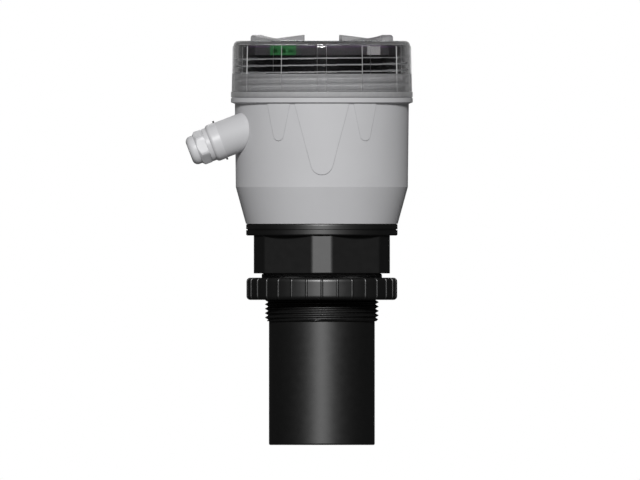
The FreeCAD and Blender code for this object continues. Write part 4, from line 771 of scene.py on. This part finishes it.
class TRANSMITTER_OT_side_reliefs(Operator):
    """Model the skin of the side reliefs, whose walls point to the front as the mould opens"""
    bl_idname = "transmitter.side_reliefs"
    bl_label = "Side reliefs"
    # How deep the skin reaches into the housing, and the share of the lip's height that it rises behind it
    sunk = 0.3 * MM
    behind_lip = 0.2
    slice_width = 1.2 * MM
    arc_steps = 24

    def barrel(self, z, size):
        lip_low = LIP_TOP - size.lip_height
        return size.barrel_radius - size.barrel_draft * (lip_low - z) / size.barrel_height

    def drip(self, size):
        """A tapered U with a round end, in the relief's own plane, from its right top to its left top."""
        radius = size.bottom_radius + size.cover
        half_width = size.half_width + size.cover
        lip_low = LIP_TOP - size.lip_height
        top = lip_low + size.lip_height * self.behind_lip
        centre = lip_low - size.drop + size.bottom_radius
        reach = math.hypot(half_width, LIP_TOP - centre)
        low_turn = math.atan2(LIP_TOP - centre, half_width) - math.acos(radius / reach)
        leg = Vector((radius * math.cos(low_turn), centre + radius * math.sin(low_turn)))
        share = (top - leg.y) / (LIP_TOP - leg.y)
        corner = leg.lerp(Vector((half_width, LIP_TOP)), share)
        sweep = math.pi + 2 * low_turn
        arc = [low_turn - sweep * i / self.arc_steps for i in range(self.arc_steps + 1)]
        end = [(radius * math.cos(a), centre + radius * math.sin(a)) for a in arc]
        return [tuple(corner), *end, (-corner.x, corner.y)]

    def seen_from_front(self, u, z, size):
        """Place across the front of a point of the relief: at the foot inside, at the crest outside."""
        foot = self.barrel(z, size)
        crest = foot + size.depth
        across = u * math.cos(size.turn)
        inner = across + math.sqrt(foot ** 2 - u ** 2) * math.sin(size.turn)
        outer = across + math.sqrt(crest ** 2 - u ** 2) * math.sin(size.turn)
        share = min(max((1 + u / size.bottom_radius) / 2, 0), 1)
        return inner + (outer - inner) * share

    def execute(self, context):
        size = context.scene.transmitter_reliefs
        bm = bmesh.new()
        height = size.depth + size.cover / 2
        lean = math.tan(size.lean) * (height + self.sunk)
        outline = [(self.seen_from_front(u, z, size), z) for u, z in self.drip(size)]
        for side in (-1, 1):
            verts = [bm.verts.new((side * (x + lean), self.sunk, z)) for x, z in outline]
            edges = [bm.edges.new((verts[i - 1], verts[i])) for i in range(len(verts))]
            back = bmesh.ops.edgeloop_fill(bm, edges=edges)["faces"]
            front = bmesh.ops.extrude_face_region(bm, geom=back)["geom"]
            moved = [item for item in front if isinstance(item, bmesh.types.BMVert)]
            bmesh.ops.translate(bm, verts=moved, vec=(-side * lean, -height - self.sunk, 0))
        for x in rows(-size.barrel_radius, size.barrel_radius, self.slice_width):
            bmesh.ops.bisect_plane(bm, geom=bm.verts[:] + bm.edges[:] + bm.faces[:], dist=MERGE,
                                   plane_co=(x, 0, 0), plane_no=(1, 0, 0))
        for vert in bm.verts:
            radius = self.barrel(vert.co.z, size) - vert.co.y
            vert.co.y = -math.sqrt(radius ** 2 - vert.co.x ** 2)
        finish_piece(bm, "side_reliefs", finish("grey_moulding"), "base", "housing_grey")
        return {"FINISHED"}


class TRANSMITTER_OT_neck_thread(Operator):
    """Model the thread on the housing's neck, under the cover"""
    bl_idname = "transmitter.neck_thread"
    bl_label = "Neck thread"
    # How deep it reaches into the neck, and how far its root stands over it
    sunk = 0.5 * MM
    skin = 0.02 * MM
    # Its gaps to the lip and to the top of the neck, and the height over which it fades at its ends
    low_gap = 2.0 * MM
    high_gap = 0.9 * MM
    run_out = 0.6 * MM

    def execute(self, context):
        cover = context.scene.transmitter_cover
        low, high = LIP_TOP + self.low_gap, NECK_TOP - self.high_gap
        root, back = cover.neck_radius + self.skin, cover.neck_radius - self.sunk
        heights = rows(low, high, cover.thread_pitch / RIDGE_ROWS)
        bm = lathe([(back, low), *[(root, z) for z in heights], (back, high)])
        start = thread_start(cover) + cover.thread_pitch / 2
        for vert in bm.verts:
            radius, turn = polar(vert.co)
            if abs(radius - root) < NEAR:
                rise = ridge_rise(vert.co.z, turn, start, cover) * fade(vert.co.z, low, high, self.run_out)
                place(vert, root + cover.neck_ridge * rise, turn)
        finish_piece(bm, "neck_thread", finish("grey_moulding"), "base", "housing_grey")
        return {"FINISHED"}


class TRANSMITTER_OT_clear_cover(Operator):
    """Model the clear cover with its thread, grip ribs and saw-tooth ramps as one moulding"""
    bl_idname = "transmitter.clear_cover"
    bl_label = "Clear cover"
    # Rows of the wall at the upper end of a grip rib, below the rounding of the top
    rib_end = (1.05 * MM, 0.9 * MM, 0.8 * MM, 0.2 * MM, 0.02 * MM)
    # Columns of the plain wall, in degrees from the middle of a grip rib
    wall_columns = (5.5, 8, 10.5, 13)
    # Turn that a rib's side takes up, half the turn of a ramp's steep end, and the thread's run-out
    rib_side = math.radians(0.15)
    steep_half = math.radians(0.03)
    run_out = 0.8 * MM
    # Gap between a ramp's walls and the rings of the top plate beside it, and rings of its rounding
    skin = 0.02 * MM
    ramp_steps = 5
    # Most rise of an upright face's normal, least of a level one's, and most outward share of a rib side's
    upright = 0.5
    level = 0.99
    sideways = 0.8
    # Share of a ridge's height above which it is satin
    crest_share = 0.8
    sharp = 30

    def outline(self, size, ceiling, top):
        inner_low, inner_high = size.low_radius - size.wall, size.top_radius - size.wall
        bead_top = COVER_LOW + size.bead_height
        recess = COVER_LOW + size.seal_depth
        thread_low, thread_high = COVER_LOW + size.thread_low, COVER_LOW + size.thread_high
        slope = (inner_high - inner_low) / (ceiling - recess)
        threaded = [(inner_low + slope * (z - recess), z)
                    for z in rows(thread_low, thread_high, size.thread_pitch / RIDGE_ROWS)]
        wall_top = top - size.edge
        share = (NECK_TOP - bead_top) / (wall_top - self.rib_end[0] - bead_top)
        return rounded([
            (size.seal_radius, COVER_LOW),
            *edged_wall(size.bead_radius, COVER_LOW, bead_top, size.bead_edge), (size.low_radius, bead_top),
            (size.low_radius + (size.top_radius - size.low_radius) * share, NECK_TOP),
            *[(size.top_radius, wall_top - below) for below in self.rib_end],
            (size.top_radius, top, size.edge),
            *self.ramp_rings(size, top), (0, top), (0, ceiling),
            (inner_high, ceiling, size.inner_edge), *reversed(threaded), (inner_low, recess),
            (size.seal_radius, recess)])

    def ramp_rings(self, size, top):
        """Rings of the top plate that the ramps rise from, outwards first."""
        edge = size.ramp_outer - size.ramp_edge
        turns = [FULL_TURN / 4 * i / self.ramp_steps for i in range(self.ramp_steps, 0, -1)]
        rounding = [edge + size.ramp_edge * math.sin(turn) for turn in turns]
        flat = [edge, (edge + size.ramp_inner) / 2, size.ramp_inner]
        radii = [size.ramp_outer + self.skin, *rounding, *flat, size.ramp_inner - self.skin]
        return [(radius, top) for radius in radii]

    def ramp_rise(self, radius, turn, size):
        """Height of the ramps above the top plate."""
        past = (turn - size.ramp_angle) % (FULL_TURN / size.ramp_count)
        if not size.ramp_inner - NEAR < radius < size.ramp_outer + NEAR or past > FULL_TURN / 4:
            return 0
        slope = size.ramp_height * (1 - radius * math.sin(past) / size.ramp_length)
        over = max(radius - size.ramp_outer + size.ramp_edge, 0)
        section = size.ramp_height - size.ramp_edge + math.sqrt(max(size.ramp_edge ** 2 - over ** 2, 0))
        return max(min(slope, section), 0)

    def column_turns(self, size, sector):
        """Turns of the columns from the middle of a grip rib to halfway to the next rib."""
        steep_end = abs(from_middle(size.ramp_angle, sector, 0))
        return [
            0, size.rib_half / 2, size.rib_half, size.rib_half + self.rib_side,
            *[math.radians(turn) for turn in self.wall_columns],
            steep_end - self.steep_half, steep_end + self.steep_half, sector / 2]

    def shape(self, bm, size, top):
        """Raise grip ribs, ramps and thread ridges."""
        sector = FULL_TURN / size.rib_count
        bead_top = COVER_LOW + size.bead_height
        wall_top = top - size.edge
        lean_low, rib_top = wall_top - self.rib_end[1], wall_top - self.rib_end[-1]
        low, high = COVER_LOW + size.thread_low, COVER_LOW + size.thread_high
        start = thread_start(size)
        inside = size.low_radius - size.wall + MARGIN
        for vert in bm.verts:
            radius, turn = polar(vert.co)
            z = vert.co.z
            on_wall = size.top_radius - MARGIN < radius < size.low_radius + MARGIN
            if on_wall and bead_top - NEAR < z < rib_top - NEAR:
                if abs(from_middle(turn, sector, 0)) < size.rib_half + MARGIN:
                    lean = size.rib_lean * max(z - lean_low, 0) / size.rib_run
                    place(vert, radius + size.rib_height - lean, turn)
            elif abs(z - top) < NEAR:
                vert.co.z += self.ramp_rise(radius, turn, size)
            elif size.neck_radius < radius < inside and low - NEAR < z < high + NEAR:
                rise = ridge_rise(z, turn, start, size) * fade(z, low, high, self.run_out)
                place(vert, radius - size.thread_height * rise, turn)

    def mark_satin(self, bm, size, top):
        """Mark satin faces, such as rib sides and thread crests, and faces that are clearer than the wall."""
        bm.normal_update()
        share = bm.faces.layers.float.new("satin")
        window = bm.faces.layers.float.new("window")
        low, high = COVER_LOW + size.thread_low, COVER_LOW + size.thread_high
        draft = (size.low_radius - size.top_radius) / (top - COVER_LOW)
        for face in bm.faces:
            middle = face.calc_center_median()
            radius, turn = polar(middle)
            outwards = Vector((math.cos(turn), math.sin(turn), 0))
            rise = abs(face.normal.z)
            outside = radius > size.top_radius and middle.z < top - size.edge and rise < self.upright
            if outside and face.normal.dot(outwards) < self.sideways:
                face[share] = size.rib_satin if middle.z > NECK_TOP else size.neck_satin
            elif outside and middle.z < COVER_LOW + size.bead_height:
                face[share] = size.bead_satin
            elif outside and middle.z < NECK_TOP:
                face[share] = size.neck_satin
            elif middle.z > top + MARGIN:
                face[share] = size.ramp_satin
                face[window] = size.ramp_window
            elif middle.z > top - size.top - MARGIN and rise > self.level:
                face[window] = 1
            elif radius < size.top_radius - size.wall / 2:
                face[window] = size.inner_window
            wall_inside = size.low_radius - size.wall - draft * (middle.z - COVER_LOW)
            if low < middle.z < high and radius < wall_inside - self.crest_share * size.thread_height:
                face[share] = 1

    def execute(self, context):
        size = context.scene.transmitter_cover
        ceiling = CEILING + size.headroom
        top = ceiling + size.top
        sector = FULL_TURN / size.rib_count
        turns = self.column_turns(size, sector)
        gaps = len(turns) - 1
        bm = lathe(self.outline(size, ceiling, top), 2 * gaps * size.rib_count)
        gather_columns(bm, sector, 0, [(i * sector / 2 / gaps, turn) for i, turn in enumerate(turns)])
        self.shape(bm, size, top)
        self.mark_satin(bm, size, top)
        finish_piece(bm, "cover_moulding", finish("clear_moulding"), "cover", "clear_plastic", "clear_cover",
                     sharp=self.sharp)
        return {"FINISHED"}


# Stage

class TRANSMITTER_OT_studio(Operator):
    """Set up the camera, soft light, pale floor and white background"""
    bl_idname = "transmitter.studio"
    bl_label = "Studio"
    camera_distance = 1.2
    # The height that the lamps point at, and what is fixed about each lamp
    aim = 0.12
    key = {"distance": 4, "size": 0.7, "mirrored": True}
    back = {"distance": 3, "height": math.radians(30), "side": math.pi, "size": 0.8, "mirrored": False}
    glint = {"distance": 3, "height": math.radians(40), "side": math.pi, "size": 1.5, "mirrored": True}
    sides = {"distance": 3, "height": math.radians(25), "size": 2.0, "mirrored": False}
    side_turn = math.radians(140)
    floor_radius = 3
    floor_drop = 0.2 * MM

    def camera(self, context, studio):
        lens = bpy.data.cameras.new("camera")
        lens.type = "ORTHO"
        lens.ortho_scale = studio.pixels * studio.pixel
        camera = bpy.data.objects.new("camera", lens)
        camera.location = (studio.centre_x, -self.camera_distance, studio.centre_z)
        camera.rotation_euler = (FULL_TURN / 4, 0, 0)
        context.scene.collection.objects.link(camera)
        context.scene.camera = camera

    def lamp(self, context, name, level, distance, height, side, size, mirrored):
        """A soft lamp that gives level on a white surface facing it, and that gloss may mirror."""
        light = bpy.data.lights.new(name, "AREA")
        light.shape = "DISK"
        light.size = size
        light.energy = level * math.pi ** 2 * distance ** 2
        lamp = bpy.data.objects.new(name, light)
        aim = Vector((0, 0, self.aim))
        away = Vector((math.sin(side) * math.cos(height), -math.cos(side) * math.cos(height),
                       math.sin(height)))
        lamp.location = aim + away * distance
        lamp.rotation_euler = away.to_track_quat("Z", "Y").to_euler()
        lamp.visible_glossy = mirrored
        context.scene.collection.objects.link(lamp)

    def lamps(self, context, studio):
        self.lamp(context, "key", studio.key_level, height=studio.key_height, side=-studio.key_side,
                  **self.key)
        self.lamp(context, "back", studio.back_level, **self.back)
        self.lamp(context, "glint", studio.glint_level, **self.glint)
        self.lamp(context, "left", studio.side_level, side=-self.side_turn, **self.sides)
        self.lamp(context, "right", studio.side_level, side=self.side_turn, **self.sides)

    def looked_at(self, tree, rays):
        """1 for a ray from the camera, also through a clear piece."""
        return calculate(tree, "MAXIMUM", rays["Is Camera Ray"], rays["Is Transmission Ray"])

    def world(self, context, studio):
        """Dim fill and dark cards, and white where the camera or a clear piece looks past the object."""
        world = bpy.data.worlds.new("studio")
        world.use_nodes = True
        context.scene.world = world
        tree = world.node_tree
        paper = (1, 1, 1, 1)
        fill = tree.nodes["Background"]
        feed(tree, fill, {"Color": paper, "Strength": studio.fill_level})
        cards = add_node(tree, "Background", {"Color": paper, "Strength": studio.card_level})["Background"]
        white = add_node(tree, "Background", {"Color": paper, "Strength": 1})["Background"]
        rays = add_node(tree, "LightPath", {})
        mirrored = calculate(tree, "MULTIPLY", rays["Is Glossy Ray"], rays["Is Singular Ray"])
        seen = calculate(tree, "MAXIMUM", self.looked_at(tree, rays), mirrored)
        direct = calculate(tree, "SUBTRACT", seen, rays["Diffuse Depth"])
        lit = blend_shaders(tree, rays["Is Glossy Ray"], fill.outputs["Background"], cards)
        feed(tree, tree.nodes["World Output"], {"Surface": blend_shaders(tree, direct, lit, white)})

    def floor(self, context, studio):
        """A pale floor that takes the shadow and is near white to the camera."""
        bm = bmesh.new()
        below = Matrix.Translation((0, 0, -self.floor_drop))
        bmesh.ops.create_circle(bm, cap_ends=True, segments=96, radius=self.floor_radius, matrix=below)
        mesh = bpy.data.meshes.new("floor")
        bm.to_mesh(mesh)
        bm.free()
        material, tree, shader = new_material("pale_floor")
        tint = mottle(tree, studio.floor, amount=0.03, scale=4)
        feed(tree, shader, {"Base Color": tint, "Roughness": 0.9, "Specular IOR Level": 0.1})
        rays = add_node(tree, "LightPath", {})
        direct = calculate(tree, "SUBTRACT", self.looked_at(tree, rays), rays["Diffuse Depth"])
        strength = calculate(tree, "MULTIPLY", direct, studio.floor_glow)
        glow = add_node(tree, "Emission", {"Strength": strength})["Emission"]
        total = add_node(tree, "AddShader", {0: shader.outputs["BSDF"], 1: glow})["Shader"]
        feed(tree, tree.nodes["Material Output"], {"Surface": total})
        mesh.materials.append(material)
        floor = bpy.data.objects.new("floor", mesh)
        floor.visible_glossy = False
        context.scene.collection.objects.link(floor)

    def execute(self, context):
        studio = context.scene.transmitter_studio
        context.scene.view_settings.view_transform = "Standard"
        self.camera(context, studio)
        self.lamps(context, studio)
        self.world(context, studio)
        self.floor(context, studio)
        return {"FINISHED"}


class TRANSMITTER_PT_pieces(Panel):
    """Pieces of the transmitter, in the order in which they are made"""
    bl_idname = "TRANSMITTER_PT_pieces"
    bl_label = "Transmitter"
    bl_space_type = "VIEW_3D"
    bl_region_type = "UI"
    bl_category = "Transmitter"

    def draw(self, context):
        for operator in OPERATORS:
            self.layout.operator(operator.bl_idname)


GROUPS = {
    "transmitter_transducer": TransducerSizes,
    "transmitter_nut": NutSizes,
    "transmitter_cover": CoverSizes,
    "transmitter_gland": GlandSizes,
    "transmitter_reliefs": ReliefSizes,
    "transmitter_finishes": Finishes,
    "transmitter_studio": StudioSizes,
}
OPERATORS = (
    TRANSMITTER_OT_node_finishes,
    TRANSMITTER_OT_transducer_body,
    TRANSMITTER_OT_lock_nut,
    TRANSMITTER_OT_gland_nut,
    TRANSMITTER_OT_lip,
    TRANSMITTER_OT_side_reliefs,
    TRANSMITTER_OT_neck_thread,
    TRANSMITTER_OT_clear_cover,
    TRANSMITTER_OT_studio,
)


def register():
    for name, group in GROUPS.items():
        bpy.utils.register_class(group)
        setattr(bpy.types.Scene, name, PointerProperty(type=group))
    for operator in OPERATORS:
        bpy.utils.register_class(operator)
    bpy.utils.register_class(TRANSMITTER_PT_pieces)


def unregister():
    bpy.utils.unregister_class(TRANSMITTER_PT_pieces)
    for operator in reversed(OPERATORS):
        bpy.utils.unregister_class(operator)
    for name, group in GROUPS.items():
        delattr(bpy.types.Scene, name)
        bpy.utils.unregister_class(group)


def main():
    register()
    bpy.ops.transmitter.node_finishes()
    bpy.ops.transmitter.transducer_body()
    bpy.ops.transmitter.lock_nut()
    bpy.ops.transmitter.gland_nut()
    bpy.ops.transmitter.lip()
    bpy.ops.transmitter.side_reliefs()
    bpy.ops.transmitter.neck_thread()
    bpy.ops.transmitter.clear_cover()
    bpy.ops.transmitter.studio()


if __name__ == "__main__":
    main()
